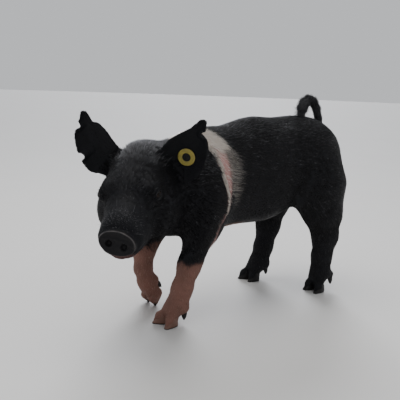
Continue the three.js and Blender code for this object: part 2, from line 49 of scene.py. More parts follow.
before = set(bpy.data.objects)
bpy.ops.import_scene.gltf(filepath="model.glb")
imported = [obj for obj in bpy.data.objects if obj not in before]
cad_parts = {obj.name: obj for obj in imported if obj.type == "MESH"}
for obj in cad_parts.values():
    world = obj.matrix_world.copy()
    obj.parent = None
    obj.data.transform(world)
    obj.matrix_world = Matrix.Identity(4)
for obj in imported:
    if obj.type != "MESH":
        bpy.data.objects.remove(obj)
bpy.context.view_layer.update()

MM = 0.001
SEED = 7

# ------------------------------------------------------------------ the body's own frame
# Body tables are in millimetres in the pig's own frame: +X its left, +Y its tail end, +Z up.

HEAD_PLACE = Vector((14.5, -192.2, 251.5))
HEAD_TURN = [("Z", 46.4), ("X", 8.9), ("Y", -3.0)]
SNOUT_PLACE = Vector((0, -163, -42))
SNOUT_TURN = [("X", -10.0), ("Y", 6.0)]
SNOUT_HALF = (27.0, 10.0, 17.5)
EYE_PLACE = Vector((40.5, -88, 2))
EYE_RADIUS = 9.5
EYE_SINK = 2.6                  # the eyeballs lie this much deeper than the round solids


def turned(steps):
    """The turns of a list, the last one made first."""
    turn = Matrix.Identity(4)
    for axis, degrees in steps:
        turn = turn @ Matrix.Rotation(math.radians(degrees), 4, axis)
    return turn


HEAD = Matrix.Translation(HEAD_PLACE) @ turned(HEAD_TURN)
SNOUT_ROLL = 9                  # the disc droops this much towards its left end, degrees
SNOUT = Matrix.Translation(SNOUT_PLACE) @ turned([*SNOUT_TURN, ("Y", SNOUT_ROLL)])
EYE_LOW, EYE_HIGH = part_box("eye_left")
SHIFT = (EYE_LOW + EYE_HIGH) / 2 / MM - HEAD @ EYE_PLACE


def carried(points, matrix):
    """Points given in a frame, in the frame that it stands in."""
    m = np.array(matrix)
    return points @ m[:3, :3].T + m[:3, 3]


def brought(points, matrix):
    """Points seen from a frame."""
    m = np.array(matrix)
    return (points - m[:3, 3]) @ m[:3, :3]


def to_body(points):
    return points / MM - np.array(SHIFT)


def to_frame(points):
    return (points + np.array(SHIFT)) * MM


FAR = 1e3                       # farther than any part of the pig, in millimetres


def empty(points):
    """The field of empty space."""
    return np.full(len(points), FAR)


def ramp(values, start, reach):
    """0 at start and before it, 1 at start + reach and beyond; reach may be negative."""
    return np.clip((values - start) / reach, 0, 1)


def bell(*offsets):
    """1 where every offset is 0, fading out where one of them passes 1 either way."""
    return np.exp(-sum(np.square(offset) for offset in offsets))


def size_of(vectors):
    return np.linalg.norm(vectors, axis=1)


def in_box(points, low, high):
    return ((points > np.array(low)) & (points < np.array(high))).all(axis=1)


def both_sides(spot):
    """A spot on the left and its twin on the right."""
    return [(side * spot[0], spot[1], spot[2]) for side in (1, -1)]


# ------------------------------------------------------------------ named masses of the body
# Masses are (centre, half sizes, blend); cords are (start, radius, end, radius, blend).

TRUNK_MASSES = {
    "ribs": ((0, -45, 236), (78, 128, 92), 24),
    "belly": ((0, 55, 246), (79, 120, 101), 24),
    "loin": ((0, 145, 266), (72, 92, 82), 24),
    "croup": ((0, 190, 289), (54, 62, 52), 20),
    "brisket": ((0, -130, 197), (48, 52, 57), 24),
    "withers": ((0, -62, 262), (44, 72, 62), 20),
    "crest": ((5, -142, 280), (26, 60, 24), 16),
}
PAIRED_MASSES = {
    "shoulder": ((48, -92, 222), (35, 50, 80), 24),
    "ham": ((49, 176, 236), (38, 59, 86), 32),
}
NECK_CORDS = {
    "nape": ((0, -70, 254), 56, (13, -178, 246), 46, 24),
    "throat": ((0, -90, 228), 66, (10, -172, 222), 56, 24),
}
HEAD_MASSES = {
    "skull": ((0, -24, 5), (49.5, 62, 50), 20),
    "brow": ((0, -70, 8), (40, 34, 26), 16),
    "chin": ((0, -136, -62), (18, 22, 12), 10),
    "poll": ((0, -2, 31), (27, 33, 23), 16),
    "snout_rim": ((0, -157, -42), (26.5, 10, 17), 8),
}
PAIRED_HEAD_MASSES = {
    "cheek": ((34, -36, -38), (33, 52, 43), 20),
    "brow_ridge": ((31, -80, 13), (12, 19, 9), 12),
    "lip": ((19, -124, -44), (17, 38, 18), 12),
    "ear_root": ((42, 6, 16), (14, 14, 20), 12),
}
HEAD_CORDS = {
    "muzzle": ((0, -60, -14), 44, (0, -156, -38), 27.5, 16),
    "jaw": ((0, -32, -52), 40, (0, -128, -62), 18, 16),
}
LEGS = {
    "fore_left": {
        "bones": [((54, -88, 205), 36), ((52, -98, 163), 27.5), ((48, -119, 100), 20.5),
                  ((47, -132, 60), 18.5), ((46, -140, 34), 19)],
        "digits": [((25, -178, 0), -31), ((61, -174, 0), 18)],
        "claws": [(38, -132, 28), (56, -132, 28)],
        "hang": 0,
    },
    "fore_right": {
        "bones": [((-52, -104, 205), 40), ((-52, -118, 163), 28), ((-49, -151, 102), 19.5),
                  ((-48, -153, 72), 16.5), ((-48, -145, 48), 17)],
        "digits": [((-60, -134, -1.8), -4), ((-39, -132, -1.8), 4)],
        "claws": [(-58, -134, 51), (-38, -134, 51)],
        "hang": 66,
    },
    "hind_left": {
        "bones": [((58, 182, 215), 48), ((60, 190, 160), 37), ((60, 201, 112), 26),
                  ((60, 196, 70), 20), ((60, 195, 40), 20.5)],
        "digits": [((44, 166, 0), -12), ((72, 169, 0), 10)],
        "claws": [(49, 213, 34), (71, 213, 34)],
        "hang": 0,
    },
    "hind_right": {
        "bones": [((-56, 168, 215), 46), ((-57, 157, 160), 36), ((-56, 154, 114), 25),
                  ((-55, 143, 70), 20), ((-55, 133, 38), 20.5)],
        "digits": [((-76, 94, 0), -22), ((-48, 99, 0), 2)],
        "claws": [(-66, 142, 34), (-44, 142, 34)],
        "hang": 0,
    },
}
TAIL_LINE = [(0, 205, 305), (0, 223, 318), (0, 221, 340), (0, 214, 360), (2, 201, 374),
             (4, 185, 377), (6, 173, 371), (7, 168, 362)]
TAIL_RADII = [12, 9, 7.6, 7.2, 7.4, 8.2, 9.0, 9.2]

HOOF_REACH = 14
HOOF_WIDTH = 18
HOOF_HEIGHT = 21
HEEL_HEIGHT = 10
DEWCLAW_RADIUS = 6
LEG_BLEND = 24
HEAD_BLEND = 26
TAIL_BLEND = 6

# The skin is drawn in this far from the masses, which leaves room for the coat.
TRUNK_COAT = 2.6
LEG_COAT = 2.0
HEAD_COAT = 1.3
TAIL_COAT = 1.6


def union(a, b, blend):
    """Two fields made one, melted together over a blend where they meet."""
    near = np.maximum(blend - np.abs(a - b), 0) / blend
    return np.minimum(a, b) - near * near * blend / 4


def common(a, b, blend):
    """The part that two fields share, its edge rounded by a blend."""
    return -union(-a, -b, blend)


def mass(points, centre, half):
    """The field of an egg-shaped mass, nearly a distance close to its surface."""
    q = points - np.array(centre)
    near = size_of(q / np.array(half))
    slope = size_of(q / np.square(half))
    return near * (near - 1) / np.maximum(slope, 1e-6)


def cord(points, a, radius_a, b, radius_b):
    """The field of a round bar from a to b that changes its radius on the way."""
    a, b = np.array(a, float), np.array(b, float)
    axis = b - a
    along = np.clip((points - a) @ axis / (axis @ axis), 0, 1)
    thick = radius_a + (radius_b - radius_a) * along
    return size_of(points - a - along[:, None] * axis) - thick


def with_cords(field, points, cords):
    """The field with cords melted in, each (start, radius, end, radius, blend)."""
    for *ends, blend in cords:
        field = union(field, cord(points, *ends), blend)
    return field


def chain(line, blend):
    """Cords from each (place, radius) of a line to the next."""
    return [(*a, *b, blend) for a, b in zip(line, line[1:])]


def blended(points, masses, paired, cords):
    """The field of many shapes, each melted into those before it."""
    field = empty(points)
    pairs = [(spot, half, blend) for centre, half, blend in paired.values()
             for spot in both_sides(centre)]
    for centre, half, blend in [*masses.values(), *pairs]:
        field = union(field, mass(points, centre, half), blend)
    return with_cords(field, points, cords.values())


def digit_frame(toe, turn, hang):
    frame_of_toe = turned([("Z", turn), ("X", hang)])
    middle = Vector(toe) + frame_of_toe @ Vector((0, HOOF_REACH, 0))
    return Matrix.Translation(middle) @ frame_of_toe


def joined(field, points, low, high, shape, blend):
    """Unions a shape into the field for the points in a box around it."""
    near = in_box(points, low, high)
    if near.any():
        field[near] = union(field[near], shape(points[near]), blend)
    return field


# The flesh of a toe in its hoof's frame: where it meets the horn above, in front and behind.
CORONET = Vector((0, 0, HOOF_HEIGHT - 8.0))
TOE_TIP = Vector((0, -8.2, HOOF_HEIGHT - 14.6))
HEEL = Vector((0, HOOF_REACH - 3, HEEL_HEIGHT))
HANGING_HEEL = Vector((0, HOOF_REACH - 3, 6.5))
TOE_RADIUS = HOOF_WIDTH / 2
CLAW_DROP = Vector((0, 1.5, -4.5))  # from the root of a dewclaw to the end of its flesh
KNUCKLE_RISE = Vector((0, 0, 1.0))
# Radius of the flesh at the ankle, as shares of the leg's, on the way to a claw, toe and heel.
CLAW_SHARE, TOE_SHARE, HEEL_SHARE = 0.7, 0.68, 0.6


def toe_cords(leg):
    """The flesh of a foot: (start, radius, end, radius, blend) down to each hoof and dewclaw."""
    ankle, thickness = leg["bones"][-1]
    wide, claw = TOE_RADIUS, DEWCLAW_RADIUS
    cords = []
    for root in leg["claws"]:
        cords += [(ankle, thickness * CLAW_SHARE, root, claw + 0.4, 12),
                  (root, claw + 0.4, Vector(root) + CLAW_DROP, claw - 0.8, 6)]
    for toe, turn in leg["digits"]:
        place = digit_frame(toe, turn, leg["hang"])
        coronet, tip = place @ CORONET, place @ TOE_TIP
        heel = place @ (HANGING_HEEL if leg["hang"] else HEEL)
        knuckle = (Vector(ankle) + coronet) / 2 + KNUCKLE_RISE
        cords += [(ankle, thickness * TOE_SHARE, knuckle, wide, 14),
                  (knuckle, wide, coronet, wide - 1.2, 10),
                  (coronet, wide - 1.2, tip, wide - 4.8, 5),
                  (coronet, wide - 1.2, heel, wide - 0.8, 7)]
        if leg["hang"]:
            cords.append((ankle, thickness * HEEL_SHARE, heel, wide - 0.4, 12))
    return cords


def leg_field(points, leg):
    return with_cords(empty(points), points, chain(leg["bones"], 12) + toe_cords(leg))


def tail_field(points):
    return with_cords(empty(points), points, chain(list(zip(TAIL_LINE, TAIL_RADII)), 3))


# ------------------------------------------------------------------ snout and eyelids

SNOUT_DISH = 2.2                # how deep the face of the snout is dished
SNOUT_RIDGE = (5.0, 1.3, 1.8)   # height above the middle, height and width of the cross ridge
SNOUT_RIM = (0.93, 1.0, 0.07)   # where the raised edge stands, its height and width
SNOUT_FLAT = np.array((SNOUT_HALF[0], SNOUT_HALF[2]))
NOSTRIL_PLACE = (11, -11, -2.5)
NOSTRIL_HALF = (4.5, 9, 4.8)
NOSTRIL_EDGE = 0.45             # the swollen edge around each nostril
LID_THICKNESS = 1.3
LID_ANGLES = (0.74, 0.37, 0.31)  # half opening along the eye, above and below, radians
LID_FOLDS = ((1.0, 0.10, 0.8), (1.32, 0.14, -0.5), (1.62, 0.12, 0.45))  # place, width, height
EYE_DEPTH = 2.0                  # the skin runs this deep under the eyeball


def on_snout(head_points):
    """Points in the frame of the snout's disc, and how far out on it they are: 1 at its rim."""
    q = brought(head_points, SNOUT)
    return q, size_of(q[:, [0, 2]] / SNOUT_FLAT)


def snout_field(points):
    q, rho = on_snout(points)
    slope = size_of(q[:, [0, 2]] / SNOUT_FLAT / SNOUT_FLAT)
    side = rho * (rho - 1) / np.maximum(slope, 1e-6)
    place, height, width = SNOUT_RIDGE
    arch = 4 * (q[:, 0] / SNOUT_HALF[0]) ** 2
    ridge = height * bell((q[:, 2] - place + arch) / width)
    place, height, width = SNOUT_RIM
    rim = height * bell((rho - place) / width)
    dish = SNOUT_DISH * np.maximum(1 - rho ** 2, 0)
    front = -q[:, 1] - SNOUT_HALF[1] + dish - ridge * (rho < 1) - rim
    nostrils = [mass(q, place, NOSTRIL_HALF) for place in both_sides(NOSTRIL_PLACE)]
    for around in nostrils:
        front = front - NOSTRIL_EDGE * bell((around - 1.6) / 1.5)
    field = common(common(side, front, 4), q[:, 1] - 5, 4)
    for around in nostrils:
        field = common(field, -around, 1.2)
    return field


def eye_frame(side):
    """Where an eye looks: X to the nose, Y up, Z outward, in the head's frame."""
    outward = Vector((side * 0.86, -0.46, 0.22)).normalized()
    nose = Vector((side * 0.2, -1, -0.28))
    nose = (nose - outward * nose.dot(outward)).normalized()
    up = outward.cross(nose)
    up = up if up.z > 0 else -up
    place = Matrix((nose, up, outward)).transposed().to_4x4()
    place.translation = Vector((side * EYE_PLACE.x, EYE_PLACE.y, EYE_PLACE.z)) - outward * EYE_SINK
    return place


def eye_angles(q):
    """How far along and across an eye points are, in radians, from points in its frame."""
    depth = np.maximum(q[:, 2], 1e-3)
    return np.arctan2(q[:, 0], depth), np.arctan2(q[:, 1], depth)


def lid_opening(q):
    """1 in the opening between the lids, 0 on them, from points in the eye's frame."""
    along, across = eye_angles(q)
    length, upper, lower = LID_ANGLES
    bow = 1 - np.square(along / length)
    edge = np.where(across > 0, upper, lower) * np.sign(bow) * np.abs(bow) ** 0.75
    inside = (edge - np.abs(across)) / 0.12
    return np.clip(inside + 0.5, 0, 1) * ramp(q[:, 2], 0, 3)


def with_lids(field, points):
    """The head's field with a lidded opening over each eye and soft folds around it."""
    for side in (1, -1):
        q = brought(points, eye_frame(side))
        away = size_of(q)
        near = away < 3 * EYE_RADIUS
        q, away = q[near], away[near]
        opening = lid_opening(q)
        lidded = union(field[near], away - EYE_RADIUS - LID_THICKNESS, 7)
        along, across = eye_angles(q)
        ring = np.hypot(along / 0.98, np.where(across > 0, across / 0.66, across / 0.60))
        folds = sum(height * bell((ring - place) / width) for place, width, height in LID_FOLDS)
        lidded = lidded + ramp(q[:, 2], 0, 4) * folds
        deep = away - EYE_RADIUS + EYE_DEPTH
        fade = ramp(away, EYE_RADIUS + 9, -4)
        field[near] = lidded + (deep - lidded) * opening * fade
    return field


MOUTH_CORNER = (-92, -40)       # y and z where the line of the mouth starts
MOUTH_SLOPE = 0.383
MOUTH_WAVE = (2.5, 62)          # height and length of the bow in the line of the mouth
MOUTH_DEPTH = 4.2
MOUTH_WIDTH = 1.25
LIP_BULGE = 1.3


def mouth_height(points):
    """How far points are above the line of the mouth."""
    y, z = points[:, 1], points[:, 2]
    corner_y, corner_z = MOUTH_CORNER
    run = corner_y - y
    height, length = MOUTH_WAVE
    bow = height * np.sin(np.clip(run / length, 0, 1) * 2 * math.pi)
    return (z - (corner_z - run * MOUTH_SLOPE + bow)) * 0.93


def with_mouth(field, points):
    away = mouth_height(points)
    share = ramp(points[:, 1], MOUTH_CORNER[0], -9)
    groove = MOUTH_DEPTH * bell(away / MOUTH_WIDTH)
    lips = LIP_BULGE * (bell((away - 4.5) / 3) + bell((away + 4) / 2.8))
    return field + share * (groove - lips)


def head_field(points):
    """The head in its own frame."""
    field = blended(points, HEAD_MASSES, PAIRED_HEAD_MASSES, HEAD_CORDS) + HEAD_COAT
    muzzle = points[:, 1] < -80
    q = points[muzzle]
    face = brought(q, SNOUT)
    rounded = 0.0035 * np.square(face[:, [0, 2]]).sum(axis=1)
    cut = common(with_mouth(field[muzzle], q), -face[:, 1] + 1.0 + rounded, 9)
    field[muzzle] = union(cut, snout_field(q) + 0.4, 3)
    return with_lids(field, points)


# ------------------------------------------------------------------ ears

EARS = {
    "ear_left": {
        "side": 1,
        "inner": [(27, 41), (47, 64), (67, 76), (82, 83), (94, 92), (101, 97)],
        "outer": [(56, -12), (80, -2), (96, 13), (105, 30), (109, 48), (108, 66), (106.5, 80),
                  (109, 94)],
        "notches": [(104, 72, 6)],
    },
    "ear_right": {
        "side": -1,
        "inner": [(30, 48), (36, 57), (43, 68), (50, 80), (60, 92), (70, 95), (74, 103), (79, 112)],
        "outer": [(65, 9), (83, 13), (92, 23), (97, 34), (101, 48), (103, 66), (99, 82), (91, 98),
                  (86, 112)],
        "notches": [(97, 89, 7), (97, 37, 7)],
    },
}
EAR_CUP = 13
EAR_SETBACK = -13.2
EAR_LEAN = -6
EAR_ROOT = (-12, -7.2)
EAR_ROOT_SHARE = 0.12
EAR_THICKNESS = 4.4
EAR_RIDGES = (-0.35, 0.05, 0.45)  # the long soft ridges of gristle, across the leaf
EAR_RIDGE_HEIGHT = 0.9
EAR_GRID = (64, 96)


def sampled(at, run, line):
    """Points of a line where its run reaches each of the values of at."""
    return np.stack([np.interp(at, run, column) for column in line.T], axis=1)


def smooth_line(points, count=400):
    """A Catmull-Rom line through points, as evenly spaced samples."""
    p = np.array(points, float)
    padded = np.vstack([2 * p[0] - p[1], p, 2 * p[-1] - p[-2]])
    t = np.linspace(0, len(p) - 1, 40 * len(p))
    i = np.minimum(t.astype(int), len(p) - 2)
    f = (t - i)[:, None]
    a, b, c, d = padded[i], padded[i + 1], padded[i + 2], padded[i + 3]
    line = 0.5 * (2 * b + (c - a) * f + (2 * a - 5 * b + 4 * c - d) * f ** 2
                  + (3 * b - a - 3 * c + d) * f ** 3)
    run = np.concatenate([[0], np.cumsum(size_of(np.diff(line, axis=0)))])
    return sampled(np.linspace(0, run[-1], count), run, line)


class EarLeaf:
    """A cupped leaf between two edges, in the head's frame."""

    def __init__(self, ear):
        self.side = ear["side"]
        self.inner = smooth_line(ear["inner"])
        self.outer = smooth_line(ear["outer"])
        for x, z, radius in ear["notches"]:
            high = np.maximum(radius ** 2 - np.square(self.outer[:, 1] - z), 0)
            cut = np.where(high > 0, x - np.sqrt(high), np.inf)
            self.outer[:, 0] = np.minimum(self.outer[:, 0], cut)

    def middle(self, across, up):
        """Points of the middle of the leaf; across from -1 to 1, up from below 0 to 1."""
        at = np.clip(up, 0, 1) * (len(self.inner) - 1)
        steps = np.arange(len(self.inner))
        inner, outer = sampled(at, steps, self.inner), sampled(at, steps, self.outer)
        spot = inner + (outer - inner) * ((across + 1) / 2)[:, None]
        spot += np.array(EAR_ROOT) * (np.maximum(-up, 0) / EAR_ROOT_SHARE)[:, None]
        cup = EAR_CUP * (1 - 0.6 * up) * (1 - across ** 2)
        front = EAR_SETBACK + EAR_LEAN * up + cup
        return np.stack([self.side * spot[:, 0], front, spot[:, 1]], axis=1)

    def thickness(self, across, up):
        thick = EAR_THICKNESS * (1 - 0.22 * np.maximum(up, 0)) * (1 - 0.3 * across ** 4)
        fade = np.clip(1 - up / 0.8, 0, 1)
        for ridge in EAR_RIDGES:
            thick = thick + EAR_RIDGE_HEIGHT * fade * bell((across - ridge * (1 - 0.3 * up)) / 0.09)
        return thick


def ear_sheet(name):
    """The middle of an ear as a fine open sheet, with the place of each point on it."""
    leaf = EarLeaf(EARS[name])
    bm = bmesh.new()
    bmesh.ops.create_grid(bm, x_segments=EAR_GRID[0], y_segments=EAR_GRID[1], size=1)
    bm.verts.ensure_lookup_table()
    flat = np.array([v.co[:2] for v in bm.verts])
    across = flat[:, 0]
    up = (flat[:, 1] + 1) / 2 * (1 + EAR_ROOT_SHARE) - EAR_ROOT_SHARE
    spots = carried(leaf.middle(across, up), HEAD)
    for vert, spot in zip(bm.verts, spots):
        vert.co = spot
    bm.normal_update()
    return bm, leaf, across, up


class EarShape:
    """An ear's distance field: a sheet with a thickness that changes over it."""

    def __init__(self, name):
        bm, leaf, across, up = ear_sheet(name)
        bm.faces.ensure_lookup_table()
        self.tree = BVHTree.FromBMesh(bm)
        corners = np.array([[v.index for v in face.verts] for face in bm.faces])
        self.half = leaf.thickness(across, up)[corners].mean(axis=1) / 2
        self.face_up = up[corners].mean(axis=1)
        face_across = across[corners].mean(axis=1)
        co = np.array([v.co for v in bm.verts])
        self.low, self.high = co.min(axis=0) - 14, co.max(axis=0) + 14
        tips = carried(leaf.middle(face_across, np.minimum(self.face_up + 0.04, 1)), HEAD)
        feet = carried(leaf.middle(face_across, self.face_up - 0.04), HEAD)
        self.upward = (tips - feet) / size_of(tips - feet)[:, None]
        bm.free()

    def near(self, points):
        return in_box(points, self.low, self.high)

    def nearest(self, points):
        found = [self.tree.find_nearest(Vector(p)) for p in points]
        return np.array([f[3] for f in found]), np.array([f[2] for f in found], int)

    def field(self, points):
        distance, face = self.nearest(points)
        return distance - self.half[face]


EAR_SHAPES = {name: EarShape(name) for name in EARS}

# ------------------------------------------------------------------ the whole body

TRUNK_BOX = ((-150, -260, 95), (150, 300, 400))
TAIL_BOX = ((-50, 140, 280), (50, 260, 420))
HEAD_BOX = ((-110, -210, -125), (110, 100, 110))


def trunk_shape(points):
    return blended(points, TRUNK_MASSES, PAIRED_MASSES, NECK_CORDS) + TRUNK_COAT


def body_field(points):
    """The whole flesh in the pig's own frame, drawn in by the depth of the coat."""
    field = joined(empty(points), points, *TRUNK_BOX, trunk_shape, LEG_BLEND)
    legs = empty(points)
    for leg in LEGS.values():
        line = np.array([place for place, _ in leg["bones"]])
        low, high = line.min(axis=0) - 90, line.max(axis=0) + 90
        joined(legs, points, low, high, lambda p, leg=leg: leg_field(p, leg), 8)
    field = union(field, legs + LEG_COAT, LEG_BLEND)
    joined(field, points, *TAIL_BOX, lambda p: tail_field(p) + TAIL_COAT, TAIL_BLEND)
    seen = brought(points, HEAD)
    near = in_box(seen, *HEAD_BOX)
    field[near] = union(field[near], head_field(seen[near]), HEAD_BLEND)
    for shape in EAR_SHAPES.values():
        near = shape.near(points)
        if near.any():
            field[near] = union(field[near], shape.field(points[near]), 9)
    return field


def dot(a, b):
    return np.einsum("ij,ij->i", a, b)


PROBE_STEP = 0.25               # how far the field's slope is felt for
LONGEST_MOVE = 3.0              # the farthest a point goes in one round


def drawn_to_skin(points, rounds):
    """Moves points onto the surface where the body's field is zero."""
    for _ in range(rounds):
        here = body_field(points)
        probes = [body_field(points + PROBE_STEP * aim) for aim in np.eye(3)]
        slope = np.stack([(probe - here) / PROBE_STEP for probe in probes], axis=1)
        move = -slope * (here / np.maximum(dot(slope, slope), 0.25))[:, None]
        length = np.maximum(size_of(move), 1e-9)
        points = points + move * np.minimum(1, LONGEST_MOVE / length)[:, None]
    return points


# ------------------------------------------------------------------ creases and folds
# A crease is (line of points, width, depth) in millimetres; negative depth is a raised fold.

HEAD_CREASES = {
    "mouth_corner": ([(38, -92, -38), (42, -85, -43), (45, -79, -52)], 3.0, 1.8),
    "bridge_fold_1": ([(26, -150, -38), (18, -147, -22), (0, -145, -14), (-18, -147, -22),
                       (-26, -150, -38)], 1.6, 0.9),
    "bridge_fold_2": ([(30, -138, -34), (20, -135, -16), (0, -133, -8), (-20, -135, -16),
                       (-30, -138, -34)], 2.0, 0.8),
    "bridge_fold_3": ([(20, -122, -10), (0, -120, -2), (-20, -122, -10)], 2.2, 0.6),
    "cheek_line": ([(46, -70, -10), (52, -58, -28), (54, -50, -50), (48, -52, -72)], 5.0, 1.2),
    "brow_line": ([(12, -72, 33), (24, -70, 33), (36, -68, 26), (46, -66, 14)], 2.6, 1.0),
    "brow_line_high": ([(8, -58, 43), (22, -56, 41), (36, -54, 33)], 3.0, 0.8),
    "tear_line": ([(42, -100, -6), (38, -110, -14), (34, -120, -22)], 3.0, 1.2),
}
BODY_CREASES = {
    "elbow_fold": ([(82, -66, 222), (87, -70, 200), (86, -77, 186), (84, -84, 170), (78, -87, 155)],
                   4.5, 2.6),
    "flank_fold": ([(64, 108, 200), (56, 118, 186), (42, 134, 162), (34, 142, 150)], 6.0, 2.4),
    "thigh_line": ([(74, 128, 250), (70, 122, 226), (66, 116, 200)], 12.0, 1.4),
    "shoulder_line": ([(70, -58, 290), (82, -54, 262), (84, -56, 240)], 9.0, 1.2),
    "neck_fold": ([(52, -128, 276), (66, -126, 250), (66, -126, 224), (56, -130, 196)], 5.0, 1.6),
    "knee_fold": ([(34, -112, 108), (44, -104, 104), (56, -106, 106)], 4.0, 1.0),
}


def line_distance(points, line):
    """How far points are from a line of stretches."""
    return np.min([cord(points, a, 0, b, 0) for a, b in zip(line, line[1:])], axis=0)


def folded(points):
    """Points of the right side laid over the left."""
    sided = points.copy()
    sided[:, 0] = np.abs(sided[:, 0])
    return sided


def creased(points, normals, creases):
    sided = folded(points)
    depth = np.zeros(len(points))
    for line, width, deep in creases.values():
        near = in_box(sided, np.min(line, axis=0) - 3 * width, np.max(line, axis=0) + 3 * width)
        depth[near] += deep * bell(line_distance(sided[near], line) / width)
    return points - normals * depth[:, None]


def waves(points, scale, seed):
    """Smooth soft noise between about -1 and 1, from a few seeded waves."""
    rng = np.random.default_rng(seed)
    total = np.zeros(len(points))
    for _ in range(9):
        aim = rng.normal(size=3)
        aim *= rng.uniform(0.7, 1.6) / np.linalg.norm(aim)
        total += np.sin(points @ aim / scale * 2 * math.pi + rng.uniform(0, 2 * math.pi))
    return total / 4.5


# ------------------------------------------------------------------ markings

# The belt runs over the withers and down behind each shoulder: places on its middle line with
# the half width of its pale skin there.
BELT_LINE = [(0, -124, 318), (14, -109, 322), (30, -93, 318), (48, -82, 307), (61, -76, 298),
             (73, -72, 281), (79, -69, 266), (82, -67, 250), (86, -66, 233), (89, -68, 217),
             (88, -70, 200), (86, -75, 188), (85, -83, 173), (79, -87, 157), (70, -91, 132)]
BELT_HALF = [20, 19, 18, 17, 16, 14, 12.5, 11, 8.5, 6, 4.8, 4.4, 4.2, 4.2, 4]
BARE_TOPS = {"fore_left": 108, "fore_right": 128}


def belt_place(points):
    """How far behind the belt's middle line points are, and the half width there."""
    sided = folded(points)
    nearest, behind, half = empty(points), np.zeros(len(points)), np.ones(len(points))
    stops = [(np.array(place, float), width) for place, width in zip(BELT_LINE, BELT_HALF)]
    for (a, wide_a), (b, wide_b) in zip(stops, stops[1:]):
        axis = b - a
        along = np.clip((sided - a) @ axis / (axis @ axis), 0, 1)
        foot = sided - a - along[:, None] * axis
        away = size_of(foot)
        closer = away < nearest
        nearest[closer] = away[closer]
        behind[closer] = (np.sign(foot[:, 1]) * away)[closer]
        half[closer] = (wide_a + (wide_b - wide_a) * along)[closer]
    return behind, half


def belt_share(points):
    """1 inside the white belt, 0 outside it."""
    behind, half = belt_place(points)
    near = (np.abs(behind) - half) / (1 + half * 0.12) + 0.8 * waves(points, 14, 3)
    return np.clip(0.5 - near / 2, 0, 1)


def belly_share(points):
    """1 on the pink skin under the belly behind the elbows."""
    x, y, z = points.T
    low = ramp(z, 163, -6)
    reach = ramp(y, -100, 8) * ramp(y, 18, -26)
    inner = ramp(np.abs(x), 66, -6)
    return low * reach * inner * (z > 130)


def bare_share(points):
    """1 on the pink lower forelegs, 0 elsewhere."""
    x, y, z = points.T
    edge = np.where(x > 0, BARE_TOPS["fore_left"], BARE_TOPS["fore_right"])
    edge = edge + 3 * waves(points, 22, 5) + np.where(x > 0, 0.05, 0.3) * (y + 125)
    return np.clip((edge - z) / 5 + 0.5, 0, 1) * (y < -60)


def lip_share(head_points):
    """1 on the pinkish lower lip."""
    _, y, z = head_points.T
    return ramp(y, -146, -6) * ramp(z, -60, -4)


def snout_share(head_points):
    """1 on the bare wet disc of the snout."""
    q, rho = on_snout(head_points)
    return ramp(-q[:, 1], -1.0, 2.5) * (rho < 1.25)


def snout_rim_highlight(head_points):
    """1 along the raised edge of the disc, broken here and there, stronger on its upper side: a
    painted highlight.
    """
    q, rho = on_snout(head_points)
    edge = bell((rho - 0.98) / 0.035) * (q[:, 1] < -6)
    # painted highlight: brighter towards the top of the rim, where the light falls
    upper = np.clip(0.45 + 0.09 * q[:, 2], 0.15, 1)
    return edge * upper * np.clip(0.75 + 0.5 * waves(head_points, 16, 8), 0, 1)


# ------------------------------------------------------------------ making meshes

def new_piece(name, mesh, material, slot, replaced=()):
    """A finished piece in the scene, riding on the pig's one body."""
    mesh.name = name
    piece = bpy.data.objects.new(name, mesh)
    bpy.context.scene.collection.objects.link(piece)
    if material:
        mesh.materials.clear()
        mesh.materials.append(material)
    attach(piece, "root")
    if replaced:
        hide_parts(*replaced)
    return piece


def settled(mesh, *modifiers, weights=None):
    """The mesh after modifiers given as (kind, settings); weights are for a group "coarse"."""
    holder = bpy.data.objects.new("holder", mesh)
    bpy.context.scene.collection.objects.link(holder)
    if weights is not None:
        group = holder.vertex_groups.new(name="coarse")
        for level in (0.5, 1.0):
            group.add(np.nonzero(weights > level - 0.5)[0].tolist(), level, "REPLACE")
    for kind, settings in modifiers:
        modifier = holder.modifiers.new(kind.lower(), kind)
        for key, value in settings.items():
            setattr(modifier, key, value)
    graph = bpy.context.evaluated_depsgraph_get()
    result = bpy.data.meshes.new_from_object(holder.evaluated_get(graph), depsgraph=graph)
    bpy.data.objects.remove(holder)
    bpy.data.meshes.remove(mesh)
    return result


def coordinates(mesh):
    co = np.empty(len(mesh.vertices) * 3)
    mesh.vertices.foreach_get("co", co)
    return co.reshape(-1, 3)


def place_vertices(mesh, co):
    mesh.vertices.foreach_set("co", np.ascontiguousarray(co, float).ravel())
    mesh.update()


def normals_of(mesh):
    normals = np.empty(len(mesh.vertices) * 3)
    mesh.vertex_normals.foreach_get("vector", normals)
    return normals.reshape(-1, 3)


def add_share(mesh, name, values):
    attribute = mesh.attributes.new(name, "FLOAT", "POINT")
    attribute.data.foreach_set("value", np.asarray(values, np.float32))


def shade_smooth(mesh):
    mesh.polygons.foreach_set("use_smooth", np.ones(len(mesh.polygons), bool))


def copy_of_nodes(nodes, swell=0.0):
    """Copies of the solids in one bmesh, swollen along their normals."""
    bm = bmesh.new()
    for node in nodes:
        bm.from_mesh(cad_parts[node].data)
    bmesh.ops.remove_doubles(bm, verts=bm.verts[:], dist=1e-6)
    bm.normal_update()
    for vert in bm.verts:
        vert.co += vert.normal * swell
    return bm


def mesh_of(bm, name):
    mesh = bpy.data.meshes.new(name)
    bm.to_mesh(mesh)
    bm.free()
    return mesh


# ------------------------------------------------------------------ skin

